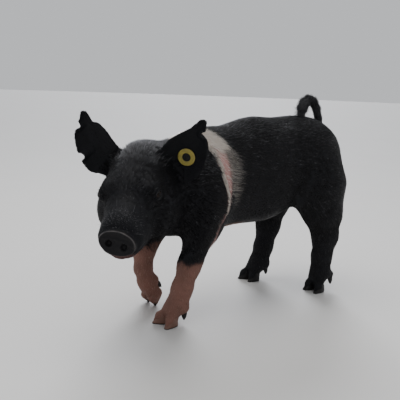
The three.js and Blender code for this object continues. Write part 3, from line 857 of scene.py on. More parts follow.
FLESH = ["trunk", "neck", "head", "lower_jaw", "snout_disc", "tail_base", "tail_tip"] + [
    f"{leg}_{half}" for leg in LEGS for half in ("upper", "lower")]
SWELL = 0.0006                  # the solids overlap by this much before they are made one
EAR_SOLID = 0.0034              # thickness of the ears' first sheets
CORD_BALLS = 6                  # balls strung along each cord of a foot
FINE_REACHES = (9, 3)           # how near a feature the skin's mesh is split, and split again
GROUND_GAP = 0.4                # lowest that the skin comes
SKIN_WAVES = ((0.35, 26, 11), (0.2, 9, 12))  # depth, length and seed of its soft unevenness


def raw_flesh():
    """The flesh of the solids and fine ears, overlapping, ready to be made one."""
    bm = copy_of_nodes(FLESH + ["eye_left", "eye_right"], SWELL)
    for leg in LEGS.values():
        for a, radius_a, b, radius_b, _ in toe_cords(leg):
            for t in np.linspace(0, 1, CORD_BALLS):
                spot = to_frame(np.array(Vector(a).lerp(Vector(b), t)))
                bmesh.ops.create_icosphere(bm, subdivisions=2, matrix=Matrix.Translation(spot),
                                           radius=(radius_a + (radius_b - radius_a) * t) * MM)
    for name in EARS:
        mesh = mesh_of(ear_sheet(name)[0], name)
        place_vertices(mesh, to_frame(coordinates(mesh)))
        thick = settled(mesh, ("SOLIDIFY", {"thickness": EAR_SOLID, "offset": 0.0}))
        bm.from_mesh(thick)
        bpy.data.meshes.remove(thick)
    return mesh_of(bm, "raw_flesh")


def fine_share(points):
    """1 where the skin keeps its finest mesh: the face."""
    head = brought(points, HEAD)
    share = ramp(head[:, 1], -38, -10)
    return share * (size_of(head / np.array((75, 200, 130))) < 1.0)


def split_near(mesh, chosen):
    """Splits the faces whose vertices are all chosen."""
    bm = bmesh.new()
    bm.from_mesh(mesh)
    bm.verts.ensure_lookup_table()
    edges = [e for e in bm.edges if chosen[e.verts[0].index] and chosen[e.verts[1].index]]
    bmesh.ops.subdivide_edges(bm, edges=edges, cuts=1, use_grid_fill=True)
    bmesh.ops.triangulate(bm, faces=[f for f in bm.faces if len(f.verts) > 4])
    bm.to_mesh(mesh)
    bm.free()


def feature_distance(points):
    """How near points are to an eye, the face of the snout or the line of the mouth."""
    head = brought(points, HEAD)
    eyes = [size_of(head - np.array(place)) - EYE_RADIUS for place in both_sides(EYE_PLACE)]
    q, rho = on_snout(head)
    front = np.where((rho < 1.2) & (q[:, 1] < 2.5), 4.0, FAR)
    mouth = np.abs(mouth_height(head)) + 5
    mouth = np.where((head[:, 1] < -88) & (head[:, 1] > -176) & (head[:, 2] < -30), mouth, FAR)
    return np.min([*eyes, front, mouth], axis=0)


def make_skin(settings):
    mesh = settled(raw_flesh(), ("REMESH", {"mode": "VOXEL", "voxel_size": settings.voxel,
                                            "use_smooth_shade": True}))
    points = drawn_to_skin(to_body(coordinates(mesh)), 3)
    place_vertices(mesh, to_frame(points))
    ratio = min(1.0, settings.skin_faces / (2 * len(mesh.polygons)))
    mesh = settled(mesh, ("DECIMATE", {"ratio": ratio, "vertex_group": "coarse"}),
                   weights=1 - fine_share(points))
    for reach in FINE_REACHES:
        split_near(mesh, feature_distance(to_body(coordinates(mesh))) < reach)
    bm = bmesh.new()
    bm.from_mesh(mesh)
    for _ in range(3):
        bmesh.ops.smooth_vert(bm, verts=bm.verts, factor=0.5, use_axis_x=True, use_axis_y=True,
                              use_axis_z=True)
    bm.to_mesh(mesh)
    bm.free()
    points = drawn_to_skin(to_body(coordinates(mesh)), 5)
    place_vertices(mesh, to_frame(points))

    normals = normals_of(mesh)
    head_normals = normals @ np.array(HEAD)[:3, :3]
    head = creased(brought(points, HEAD), head_normals, HEAD_CREASES)
    points = creased(carried(head, HEAD), normals, BODY_CREASES)
    uneven = sum(depth * waves(points, scale, seed) for depth, scale, seed in SKIN_WAVES)
    points += normals * uneven[:, None]
    points[:, 2] = np.maximum(points[:, 2], GROUND_GAP)
    place_vertices(mesh, to_frame(points))
    head = brought(points, HEAD)
    add_share(mesh, "white", belt_share(points))
    add_share(mesh, "bare", np.maximum(bare_share(points), belly_share(points)))
    # the rim share marks a painted highlight along the snout's raised edge
    for name, share in (("lip", lip_share), ("wet", snout_share), ("rim", snout_rim_highlight)):
        add_share(mesh, name, share(head))
    shade_smooth(mesh)
    return mesh


# ------------------------------------------------------------------ coat

class Roots:
    """The skin's triangles, and seeded roots spread over them."""

    def __init__(self, mesh):
        mesh.calc_loop_triangles()
        corners = np.empty(len(mesh.loop_triangles) * 3, np.int64)
        mesh.loop_triangles.foreach_get("vertices", corners)
        self.corners = corners.reshape(-1, 3)
        self.points = to_body(coordinates(mesh))
        self.normals = normals_of(mesh)
        a, b, c = (self.points[self.corners[:, k]] for k in range(3))
        self.areas = size_of(np.cross(b - a, c - a)) / 2
        self.centres = (a + b + c) / 3

    def spread(self, count, weight, seed):
        """count roots, as dense as weight says over the skin."""
        rng = np.random.default_rng(seed)
        chance = self.areas * weight(self.centres)
        chosen = rng.choice(len(chance), size=count, p=chance / chance.sum())
        u, v = rng.random(count), rng.random(count)
        flip = u + v > 1
        u, v = np.where(flip, 1 - u, u), np.where(flip, 1 - v, v)
        share = np.stack([1 - u - v, u, v], axis=1)
        at = self.corners[chosen]
        points = np.einsum("nk,nkj->nj", share, self.points[at])
        normals = np.einsum("nk,nkj->nj", share, self.normals[at])
        return points, normals / size_of(normals)[:, None]


def unit(vectors):
    return vectors / np.maximum(size_of(vectors), 1e-9)[:, None]


def leg_share(points):
    """1 on the legs, 0 on the trunk."""
    return ramp(points[:, 2], 172, -30)


def head_share(points):
    """1 on the head, 0 behind the cheeks."""
    head = brought(points, HEAD)
    near = size_of(head / np.array((110, 200, 150))) < 1.1
    return ramp(head[:, 1], 18, -26) * near


def laid(lie, normals):
    """Directions turned to run along the skin, one long."""
    return unit(lie - normals * dot(lie, normals)[:, None])


def lie_of_coat(points, normals):
    """The direction the coat lies in, along the skin."""
    x, _, z = points.T
    down = -0.15 - 0.5 * ramp(z, 300, -120)
    trunk = np.stack([0 * x, 1 + 0 * x, down], axis=1)
    head = brought(points, HEAD)
    apart = 0.35 * np.tanh(head[:, 0] / 16)
    away = np.stack([apart, 1 + 0 * x, 0.1 - 0.5 * (head[:, 2] < -20)], axis=1)
    away = away @ np.array(HEAD)[:3, :3].T
    legs, heads = leg_share(points)[:, None], head_share(points)[:, None]
    lie = trunk * (1 - legs) + np.array((0, 0.22, -1)) * legs
    lie = lie * (1 - heads) + away * heads
    swirl = np.stack([waves(points, 70, seed) for seed in (21, 22, 23)], axis=1)
    return laid(lie + 0.22 * swirl, normals)


def unwrapped(points, part):
    """Where points of a part lie on that part's unrolled skin, both from 0 to 1."""
    if part == "head":
        q = brought(points, HEAD)
        around = np.arctan2(q[:, 0], q[:, 2] + 20)
        run = (q[:, 1] + 185) / 260
    elif part == "legs":
        around = np.zeros(len(points))
        for i, leg in enumerate(LEGS.values()):
            line = np.array([place for place, _ in leg["bones"]], float)
            own = (np.sign(points[:, 0]) == np.sign(line[0, 0])) & (
                (points[:, 1] < 50) == (line[0, 1] < 50))
            out = points[:, :2] - sampled(-points[:, 2], -line[:, 2], line[:, :2])
            turn = np.arctan2(out[:, 0], out[:, 1]) / (2 * math.pi) + 0.5
            around = np.where(own, (i + 0.04 + 0.92 * turn) / 4, around)
        return np.stack([around, np.clip(points[:, 2] / 230, 0, 1)], axis=1)
    else:
        around = np.arctan2(points[:, 0], points[:, 2] - 240)
        run = (points[:, 1] + 240) / 500
    return np.stack([around / (2 * math.pi) + 0.5, np.clip(run, 0, 1)], axis=1)


PATCH = 0.003                   # share of the unrolled skin that one tuft takes
TUFT_SECTION = np.array([(-0.5, -0.15), (0.5, -0.15), (0.0, 0.3)])
SHORT_RINGS = (0.36,)           # where along a tuft its rings of corners are
LONG_RINGS = (0.3, 0.68)
SWAY = 0.07
ROOT_DEPTH = 0.35               # how deep the roots are in the skin
SHARES = ("white", "bare", "tone", "grey")


def tuft_faces(sides, rings):
    """Triangles of one tuft: a point, rings of corners, and a point."""
    faces = []
    for k in range(sides):
        j = (k + 1) % sides
        faces.append((1 + k, 1 + j, 0))
        for ring in range(rings - 1):
            a = 1 + ring * sides
            faces += [(a + j, a + k, a + sides + k), (a + j, a + sides + k, a + sides + j)]
        last = 1 + (rings - 1) * sides
        faces.append((last + j, last + k, sides * rings + 1))
    return np.array(faces)


def grown(name, roots, normals, lie, length, width, rise, shares, part, material, rng,
          rings=SHORT_RINGS):
    """One coat piece: a thin closed three-sided tuft, pointed at both ends, at every root.

    length, width and rise are per tuft in millimetres; rise is how high the tip stands off the
    skin. shares are the tufts' own values of SHARES, for the finish.
    """
    count = len(roots)
    across = unit(np.cross(lie, normals))
    sides = len(TUFT_SECTION)
    per = sides * len(rings) + 2
    verts = np.empty((count, per, 3))
    along = np.empty((count, per))
    uv = np.empty((per, 2))
    sway = rng.normal(size=count) * SWAY
    skin = body_field(roots)
    for level, t in enumerate((0.0, *rings, 1.0)):
        lift = rise * t ** 1.3 - ROOT_DEPTH * (1 - t)
        centre = roots + lie * (length * t)[:, None] + across * (length * sway * t * t)[:, None]
        if t > 0:
            centre = centre + normals * (skin - body_field(centre))[:, None]
        centre = centre + normals * lift[:, None]
        if t in (0.0, 1.0):
            spot = 0 if t == 0 else per - 1
            verts[:, spot], along[:, spot], uv[spot] = centre, t, (0.5, t)
            continue
        taper = 1.0 - 0.45 * max(0.0, t - 0.35) / 0.65
        for k, (u, v) in enumerate(TUFT_SECTION):
            spot = 1 + (level - 1) * sides + k
            verts[:, spot] = (centre + across * (width * u * taper)[:, None]
                              + normals * (width * v * taper)[:, None])
            along[:, spot] = t
            uv[spot] = (0.5 + u, t)
    faces = tuft_faces(sides, len(rings))
    index = (faces[None] + np.arange(count)[:, None, None] * per).reshape(-1)
    mesh = bpy.data.meshes.new(name)
    mesh.vertices.add(count * per)
    mesh.vertices.foreach_set("co", to_frame(verts.reshape(-1, 3)).ravel())
    mesh.loops.add(len(index))
    mesh.loops.foreach_set("vertex_index", index.astype(np.int32))
    mesh.polygons.add(len(index) // 3)
    mesh.polygons.foreach_set("loop_start", np.arange(0, len(index), 3, dtype=np.int32))
    mesh.update(calc_edges=True)
    shade_smooth(mesh)
    for key, values in zip(SHARES, shares):
        add_share(mesh, key, np.repeat(np.broadcast_to(values, count), per))
    add_share(mesh, "along", along.reshape(-1))
    layer = mesh.uv_layers.new(name="OFBake")
    place = unwrapped(roots, part)[:, None, :] + (uv[None] - 0.5) * PATCH
    place = np.clip(place, 0, 1).reshape(-1, 2)[index]
    layer.data.foreach_set("uv", place.astype(np.float32).ravel())
    return new_piece(name, mesh, material, "coat")


# ------------------------------------------------------------------ materials

class Wire:
    """A number in a material; sums and products of wires add their Math nodes."""

    def __init__(self, finish, socket):
        self.finish = finish
        self.socket = socket

    def _math(self, operation, a, b):
        node = self.finish.node("ShaderNodeMath", {"operation": operation}, {0: a, 1: b})
        return Wire(self.finish, node.outputs[0])

    def __add__(self, other):
        return self._math("ADD", self, other)

    __radd__ = __add__

    def __sub__(self, other):
        return self._math("SUBTRACT", self, other)

    def __rsub__(self, other):
        return self._math("SUBTRACT", other, self)

    def __mul__(self, other):
        return self._math("MULTIPLY", self, other)

    __rmul__ = __mul__

    def __pow__(self, other):
        return self._math("POWER", self, other)

    def clamped(self):
        return self._math("MINIMUM", self._math("MAXIMUM", self, 0.0), 1.0)


class Finish:
    """A material with one Principled shader, built up node by node."""

    def __init__(self, name, **sockets):
        self.material = bpy.data.materials.new(name)
        self.material.use_nodes = True
        self.tree = self.material.node_tree
        self.tree.nodes.clear()
        self.shader = self.node("ShaderNodeBsdfPrincipled", {}, {})
        output = self.node("ShaderNodeOutputMaterial", {}, {})
        self.tree.links.new(self.shader.outputs[0], output.inputs[0])
        for key, value in sockets.items():
            self.shader.inputs[key.replace("_", " ")].default_value = value

    def node(self, kind, settings, inputs):
        """A node of a kind, with its settings made first and its sockets filled."""
        node = self.tree.nodes.new(kind)
        for key, value in settings.items():
            setattr(node, key, value)
        for key, value in inputs.items():
            self.fill(node.inputs[key], value)
        return node

    def fill(self, socket, value):
        """Links a wire or a socket to a socket, or sets the socket to a value."""
        value = value.socket if isinstance(value, Wire) else value
        if isinstance(value, bpy.types.NodeSocket):
            self.tree.links.new(value, socket)
        else:
            socket.default_value = value

    def share(self, name):
        node = self.node("ShaderNodeAttribute", {"attribute_name": name}, {})
        return Wire(self, node.outputs["Fac"])

    def place(self, scale=(1, 1, 1)):
        where = self.node("ShaderNodeTexCoord", {}, {})
        node = self.node("ShaderNodeMapping", {}, {"Vector": where.outputs["Object"], "Scale": scale})
        return node.outputs[0]

    def noise(self, scale, detail=3.0, stretch=(1, 1, 1)):
        node = self.node("ShaderNodeTexNoise", {}, {
            "Vector": self.place(stretch), "Scale": scale, "Detail": detail})
        return Wire(self, node.outputs["Fac"])

    def mix(self, factor, a, b):
        """A colour between two colours, each a socket or the colour itself."""
        a, b = (c if isinstance(c, bpy.types.NodeSocket) else (*c[:3], 1.0) for c in (a, b))
        node = self.node("ShaderNodeMix", {"data_type": "RGBA"}, {0: factor, 6: a, 7: b})
        return node.outputs[2]

    def feed(self, name, value):
        self.fill(self.shader.inputs[name], value)

    def bump(self, height, strength, distance):
        node = self.node("ShaderNodeBump", {}, {
            "Height": height, "Strength": strength, "Distance": distance})
        self.fill(self.shader.inputs["Normal"], node.outputs[0])


def scaled(colour, share):
    return [share * c for c in colour]


def skin_finish(look):
    finish = Finish("pig_skin", Specular_IOR_Level=0.14)
    white, bare = finish.share("white"), finish.share("bare")
    lip, wet = finish.share("lip"), finish.share("wet")
    grain = finish.noise(1400, 2.0, (1, 0.35, 1))
    patch = finish.noise(45, 3.0)
    colour = finish.mix(patch, look.black_dark, look.black_light)
    pink = finish.mix(finish.noise(90, 4.0), look.pink, look.pink_dark)
    leg = finish.mix(finish.noise(32, 5.0) ** 1.2, look.leg_pink, look.leg_dark)
    colour = finish.mix(white, colour, pink)
    colour = finish.mix(bare, colour, leg)
    disc = finish.mix(finish.noise(240, 3.0), look.snout, look.snout_light)
    colour = finish.mix(wet, colour, disc)
    colour = finish.mix(lip, colour, look.lip)
    # painted highlight along the snout's raised edge
    colour = finish.mix(finish.share("rim"), colour, look.snout_rim)
    finish.feed("Base Color", colour)
    finish.feed("Roughness", 0.62 - 0.16 * wet + 0.1 * (patch - 0.5))
    finish.bump(grain + 0.6 * finish.noise(420, 3.0), 0.35, 0.0006)
    return finish.material


def hair_finish(name, look, gloss):
    finish = Finish(name, Specular_IOR_Level=gloss)
    white, bare = finish.share("white"), finish.share("bare")
    tone, along = finish.share("tone"), finish.share("along")
    black = finish.mix(tone, look.black_dark, look.hair_brown)
    # pale hair tips: partly grey hair, partly painted backlight sheen on the back's top, the poll and
    # the crest
    grey = (finish.share("grey") * (0.25 + 0.75 * along)).clamped()
    black = finish.mix(grey, black, look.hair_grey_and_sheen)
    pale = finish.mix(tone, look.hair_white, look.hair_cream)
    colour = finish.mix((white * (1.0 - along * (1.0 - white))).clamped(), black, pale)
    colour = finish.mix(bare, colour, finish.mix(tone, look.leg_hair, look.leg_tip))
    finish.feed("Base Color", colour)
    finish.feed("Roughness", 0.42 + 0.2 * tone)
    return finish.material


def eye_finish(look):
    finish = Finish("pig_eye", Roughness=0.15, Coat_Weight=0.12, Coat_Roughness=0.04,
                    Specular_IOR_Level=0.08)
    iris = finish.mix(finish.noise(1500, 4.0), look.iris, look.iris_dark)
    colour = finish.mix(finish.share("pupil"), iris, (0.002, 0.002, 0.002))
    colour = finish.mix(finish.share("white_of_eye"), colour, look.eye_white)
    finish.feed("Base Color", colour)
    return finish.material


def horn_finish(name, light, dark):
    """Horn in thin growth lines, darker towards the ground, with painted shade over the toes of the
    hanging hooves.
    """
    finish = Finish(name, Specular_IOR_Level=0.3, Roughness=0.45)
    patch = finish.noise(110, 3.0)
    # darker near the ground on standing hooves; on the hanging hooves the dark toe is painted shade
    low = (finish.share("low_dark_and_toe_shade") * (0.7 + 0.6 * patch)).clamped()
    rings = finish.noise(60, 2.0, (1, 1, 14))
    colour = finish.mix(rings, light, scaled(light, 0.62))
    colour = finish.mix(low, colour, dark)
    finish.feed("Base Color", colour)
    finish.feed("Roughness", 0.38 + 0.25 * patch)
    finish.bump(rings + 0.5 * finish.noise(700, 3.0), 0.4, 0.0006)
    return finish.material


def tag_finish(name, colour, shade, **sockets):
    """Moulded plastic with a fine grain, darker patches and a worn sheen; on the yellow ring the
    patches are dirt and painted shade.
    """
    finish = Finish(name, **{"Specular_IOR_Level": 0.5, "Roughness": 0.4, **sockets})
    # darker patches: dirt, and on the yellow ring also painted shade
    dirt_and_shade = finish.noise(160, 5.0) ** 3.0
    finish.feed("Base Color", finish.mix((dirt_and_shade * 1.6).clamped(), colour, shade))
    finish.feed("Roughness", 0.34 + 0.25 * finish.noise(500, 3.0))
    finish.bump(finish.noise(1800, 2.0), 0.15, 0.0003)
    return finish.material


def floor_finish(look):
    finish = Finish("studio_floor", Roughness=0.75)
    finish.feed("Base Color", finish.mix(finish.noise(3.0, 4.0), look.floor,
                                         scaled(look.floor, 0.94)))
    finish.bump(finish.noise(160, 4.0), 0.08, 0.0005)
    return finish.material


# ------------------------------------------------------------------ settings

def length_property(name, description, default):
    return FloatProperty(name=name, description=description, default=default, min=0.0,
                         subtype="DISTANCE", unit="LENGTH", precision=4)


def colour_property(name, description, default):
    return FloatVectorProperty(name=name, description=description, default=default, size=3,
                               min=0.0, max=1.0, subtype="COLOR")


def count_property(name, description, default, least=100):
    return IntProperty(name=name, description=description, default=default, min=least)


def amount_property(name, description, default, least=0.0):
    return FloatProperty(name=name, description=description, default=default, min=least)


class PigShape(bpy.types.PropertyGroup):
    """Sizes of the skin, the coat and the eyes."""

    voxel: length_property("Voxel", "Mesh size at which the flesh is made one skin", 0.0016)
    skin_faces: count_property("Skin faces", "Triangles kept in the skin before the eyes and "
                               "snout are made finer", 146000, 20000)
    trunk_tufts: count_property("Trunk tufts", "Tufts over the trunk and neck", 104000)
    leg_tufts: count_property("Leg tufts", "Tufts over the legs", 27000)
    head_tufts: count_property("Head tufts", "Tufts over the face and ears", 52000)
    belt_tufts: count_property("Belt tufts", "Long tufts of the white belt", 9500)
    bristles: count_property("Bristles", "Standing bristles of the poll, crest and back", 8000)
    tail_tufts: count_property("Tail fringe", "Long tufts near the tail's end", 5200, 10)
    whiskers: count_property("Whiskers", "Bristles and whiskers of the muzzle", 420, 10)
    lashes: count_property("Lashes", "Lashes of both eyes", 60, 4)


class PigLook(bpy.types.PropertyGroup):
    """Colours of the skin, hair, eyes, hooves and tag."""

    black_dark: colour_property("Black", "Darkest black of skin and hair", (0.0045, 0.0045, 0.0055))
    black_light: colour_property("Black, lighter", "Lighter patches of the black skin",
                                 (0.011, 0.0115, 0.014))
    pink: colour_property("Pink", "Skin under the white belt", (0.40, 0.245, 0.23))
    pink_dark: colour_property("Pink, darker", "Mottling of the pink skin", (0.36, 0.19, 0.17))
    leg_pink: colour_property("Leg pink", "Skin of the lower forelegs", (0.235, 0.113, 0.087))
    leg_dark: colour_property("Leg, darker", "Mottling of the lower forelegs",
                              (0.095, 0.052, 0.043))
    snout: colour_property("Snout", "Bare skin of the snout", (0.007, 0.007, 0.008))
    snout_light: colour_property("Snout, lighter", "Worn skin of the snout", (0.012, 0.011, 0.012))
    # Snout rim is the colour of a painted highlight along the raised edge, not of the skin itself
    snout_rim: colour_property("Snout rim", "Raised edge of the snout", (0.085, 0.078, 0.076))
    lip: colour_property("Lip", "Skin of the lower lip", (0.075, 0.037, 0.034))
    hair_brown: colour_property("Brown hair", "Sun-bleached black hair", (0.013, 0.012, 0.013))
    # grey hair tips; along the top of the back and over the poll and crest they are painted backlight
    # sheen
    hair_grey_and_sheen: colour_property("Grey hair", "Pale tips of black hair", (0.30, 0.30, 0.32))
    hair_white: colour_property("White hair", "Hair of the belt", (0.84, 0.80, 0.75))
    hair_cream: colour_property("Cream hair", "Yellower hair of the belt", (0.64, 0.56, 0.48))
    leg_hair: colour_property("Leg hair", "Pale hair of the lower forelegs", (0.2, 0.105, 0.08))
    leg_tip: colour_property("Leg hair, paler", "Palest hair of the lower forelegs",
                             (0.34, 0.22, 0.16))
    iris: colour_property("Iris", "Brown of the iris", (0.022, 0.011, 0.006))
    iris_dark: colour_property("Iris, darker", "Dark of the iris", (0.008, 0.004, 0.003))
    eye_white: colour_property("White of the eye", "Edge of the eyeball", (0.05, 0.034, 0.03))
    hoof_pale: colour_property("Pale hoof", "Horn of the forehooves", (0.20, 0.105, 0.078))
    hoof_dark: colour_property("Dark hoof", "Horn of the hind hooves", (0.009, 0.008, 0.008))
    tag: colour_property("Tag", "Yellow plastic of the tag", (0.35, 0.285, 0.05))
    # colour of the yellow ring's darker patches: dirt and painted shade
    tag_shade: colour_property("Tag, dirty", "Dirt on the tag", (0.13, 0.10, 0.035))
    tag_stud: colour_property("Tag stud", "Dark plastic of the stud", (0.012, 0.012, 0.011))


class StageLook(bpy.types.PropertyGroup):
    """Floor, light and camera."""

    floor: colour_property("Floor", "Pale studio floor", (0.60, 0.59, 0.575))
    sky: amount_property("Fill", "Strength of the even light from above", 0.68)
    horizon: FloatProperty(name="Horizon", description="Share of that light near the floor",
                           default=0.97, min=0.0, max=1.0)
    key: amount_property("Key", "Power of the large light overhead, in watts", 26.0)
    rim: amount_property("Rim", "Strength of the light from behind the back", 3.1)
    lens: amount_property("Lens", "Focal length in millimetres", 52.38, 10.0)
    eye_height: length_property("Camera height", "Height of the camera above the floor", 0.410)


# ------------------------------------------------------------------ operators

class PIG_OT_skin(bpy.types.Operator):
    """Make the one skin that stands for every part of flesh"""

    bl_idname = "pig.skin"
    bl_label = "Skin"

    def execute(self, context):
        mesh = make_skin(context.scene.pig_shape)
        nodes = FLESH + list(EARS)
        new_piece("skin", mesh, skin_finish(context.scene.pig_look), "coat", nodes)
        return {"FINISHED"}


def on_each_ear(points):
    """For each ear: which points are around it, how far off it, and where up it and pointing."""
    for shape in EAR_SHAPES.values():
        near = np.nonzero(shape.near(points))[0]
        distance, face = shape.nearest(points[near])
        yield near, distance, shape.face_up[face], shape.upward[face]


def ear_share(points):
    """1 on the ears, how far up them points are, and how far from them."""
    share, height, gap = np.zeros(len(points)), np.zeros(len(points)), empty(points)
    for near, distance, up, _ in on_each_ear(points):
        share[near] = np.maximum(share[near], (distance < ON_EAR) * ramp(up, 0, 0.1))
        height[near] = np.where(distance < ON_EAR, up, height[near])
        gap[near] = np.minimum(gap[near], distance)
    return share, height, gap


def trunk_weight(centres):
    legs = ramp(centres[:, 2], 140, -30)
    heads = np.maximum(head_share(centres), ear_share(centres)[0])
    return (1 - heads) * (1 - legs) * (1 - 0.95 * belt_share(centres)) + 1e-6


def leg_weight(centres):
    legs = ramp(centres[:, 2], 165, -20) * (1 - head_share(centres))
    above = np.clip((centres[:, 2] - 12) / 8, 0.02, 1)
    return legs * above * (1 - 0.6 * bare_share(centres)) * (1 - 0.9 * belt_share(centres)) + 1e-6


def off_features(centres):
    """0 on the eyes' openings, the snout's face and the lower lip."""
    head = brought(centres, HEAD)
    keep = (1 - snout_share(head)) * (1 - lip_share(head))
    for side in (1, -1):
        q = brought(head, eye_frame(side))
        away = size_of(q)
        keep = keep * (1 - (away < EYE_RADIUS + 5) * (lid_opening(q) > 0.02))
        keep = keep * (1 - 0.9 * (away < EYE_RADIUS + 1.2))
    return keep


def head_weight(centres):
    heads = np.maximum(head_share(centres), ear_share(centres)[0])
    return heads * off_features(centres) + LEAST


def belt_weight(centres):
    """Thick over the withers and along the belt's front edge, thin behind it."""
    behind, half = belt_place(centres)
    off = behind / half
    top = ramp(centres[:, 2], 292, 16)
    ridge = bell((off + 0.92) / 0.17) * (centres[:, 2] > 196)
    inside = ramp(np.abs(off), 1.2, -0.3)
    fan = 0.02 + 0.34 * ramp(off, 0.1, 0.4) * (centres[:, 2] > 205)
    return inside * (fan + 0.9 * top) + 1.1 * ridge * (1 - 0.3 * top) + LEAST


def bristle_weight(centres):
    """Thick over the poll and crest, thinner along the back, none on the ears."""
    head = brought(centres, HEAD)
    poll = bell((head[:, 1] - 1) / 26, head[:, 0] / 27) * (head[:, 2] > 26)
    crest = bell((centres[:, 0] - 4) / 24) * (centres[:, 2] > 275) * (
        centres[:, 1] < -95) * (centres[:, 1] > -190)
    back = 0.14 * bell(centres[:, 0] / 30) * (centres[:, 2] > 300)
    clear = ramp(ear_share(centres)[2], 7, 6)
    return (2.2 * poll + 1.3 * crest + 1.3 * back) * clear + LEAST


def tail_weight(centres):
    _, run = on_tail(centres, centres)
    return ramp(run, 0.15, 0.5) + LEAST


def muzzle_weight(centres):
    """Over the bridge behind the snout's disc, and a few under the chin."""
    head = brought(centres, HEAD)
    top = bell((head[:, 1] + 147) / 10, head[:, 0] / 21) * (head[:, 2] > -36)
    under = 0.03 * bell((head[:, 1] + 140) / 16) * (head[:, 2] < -48)
    return (top + under) * off_features(centres) + LEAST


def lash_weight(centres):
    """Along the edge of each upper lid."""
    head = brought(centres, HEAD)
    share = np.zeros(len(centres))
    for side in (1, -1):
        q = brought(head, eye_frame(side))
        along, across = eye_angles(q)
        rim = bell((across - LID_ANGLES[1] - 0.1) / 0.08) * (np.abs(along) < 0.6)
        share = share + rim * (size_of(q) < EYE_RADIUS + 3) * (q[:, 2] > 0)
    return share + 1e-12


def on_ears(points, lie):
    """The lie of the coat, from root to tip on the ears."""
    lie = lie.copy()
    for near, distance, up, upward in on_each_ear(points):
        there = (distance < ON_EAR) & (up > 0.06)
        lie[near[there]] = upward[there]
    return lie


def on_tail(points, lie):
    """The lie of the coat, from root to tip along the tail, and how far along it points are."""
    lie = lie.copy()
    run = np.zeros(len(points))
    near = np.nonzero(in_box(points, *TAIL_BOX) & (points[:, 2] > TAIL_COAT_START))[0]
    away = np.linalg.norm(points[near][:, None] - TAIL_PATH[None], axis=2)
    spot = away.argmin(axis=1)
    there = away.min(axis=1) < 14
    aim = unit(np.gradient(TAIL_PATH, axis=0))
    lie[near[there]] = aim[spot[there]]
    run[near[there]] = spot[there] / len(TAIL_PATH)
    return lie, run


def combed(lie, normals, stray, rng):
    """The lie with some stray, kept along the skin."""
    return laid(lie + stray * rng.normal(size=lie.shape), normals)


class Hair(NamedTuple):
    """A kind of tuft: least and most of each size in millimetres, and how much it strays."""

    length: tuple
    width: tuple
    rise: tuple
    stray: float = 0.10


LEAST = 1e-9                    # chance left everywhere, so that no weight is all zero
ON_EAR = 4                      # points this near the middle of an ear are on it
TAIL_COAT_START = 322           # height above which hair follows the tail
TAIL_PATH = smooth_line(TAIL_LINE, 120)

TRUNK_HAIR = Hair((7.5, 12), (0.55, 0.85), (0.5, 1.3))
LEG_HAIR = Hair((5, 8.5), (0.5, 0.75), (0.3, 0.9))
HEAD_HAIR = Hair((5.5, 8.0), (0.42, 0.62), (0.5, 1.1))
BELT_HAIR = Hair((14, 24), (0.30, 0.46), (0.8, 2.6), 0.13)
BELT_FAN = Hair((22, 40), (0.24, 0.36), (0.8, 2.4))
BELT_FRONT_LENGTH = (10, 19)
BRISTLE = Hair((7, 12), (0.36, 0.54), (0.5, 1.05), 0.16)  # its rise is a share of the next
BRISTLE_RISE = (1.4, 4.4)       # on the back, and added to it on the poll and crest
TAIL_HAIR = Hair((8, 15), (0.34, 0.5), (1.0, 6.5), 0.2)
MUZZLE_HAIR = Hair((1.2, 2.6), (0.2, 0.3), (0.7, 1.6), 0.3)
WHISKER_LENGTH = (12, 20)
WHISKER_RISE = (4, 8)
WHISKER_CHANCE = 0.015
LASH = Hair((3.5, 6), (0.24, 0.32), (1.5, 3.0), 0.12)

# How steeply the belt's hair falls by height, behind its middle line and in front of it.
BELT_FALL = ([150, 200, 235, 265, 300, 330], [1.2, 0.1, 0.15, 0.35, 0.7, 0.35])
BELT_FRONT_FALL = ([200, 225, 260, 290, 316], [2.6, 3.2, 3.2, 2.0, 0])


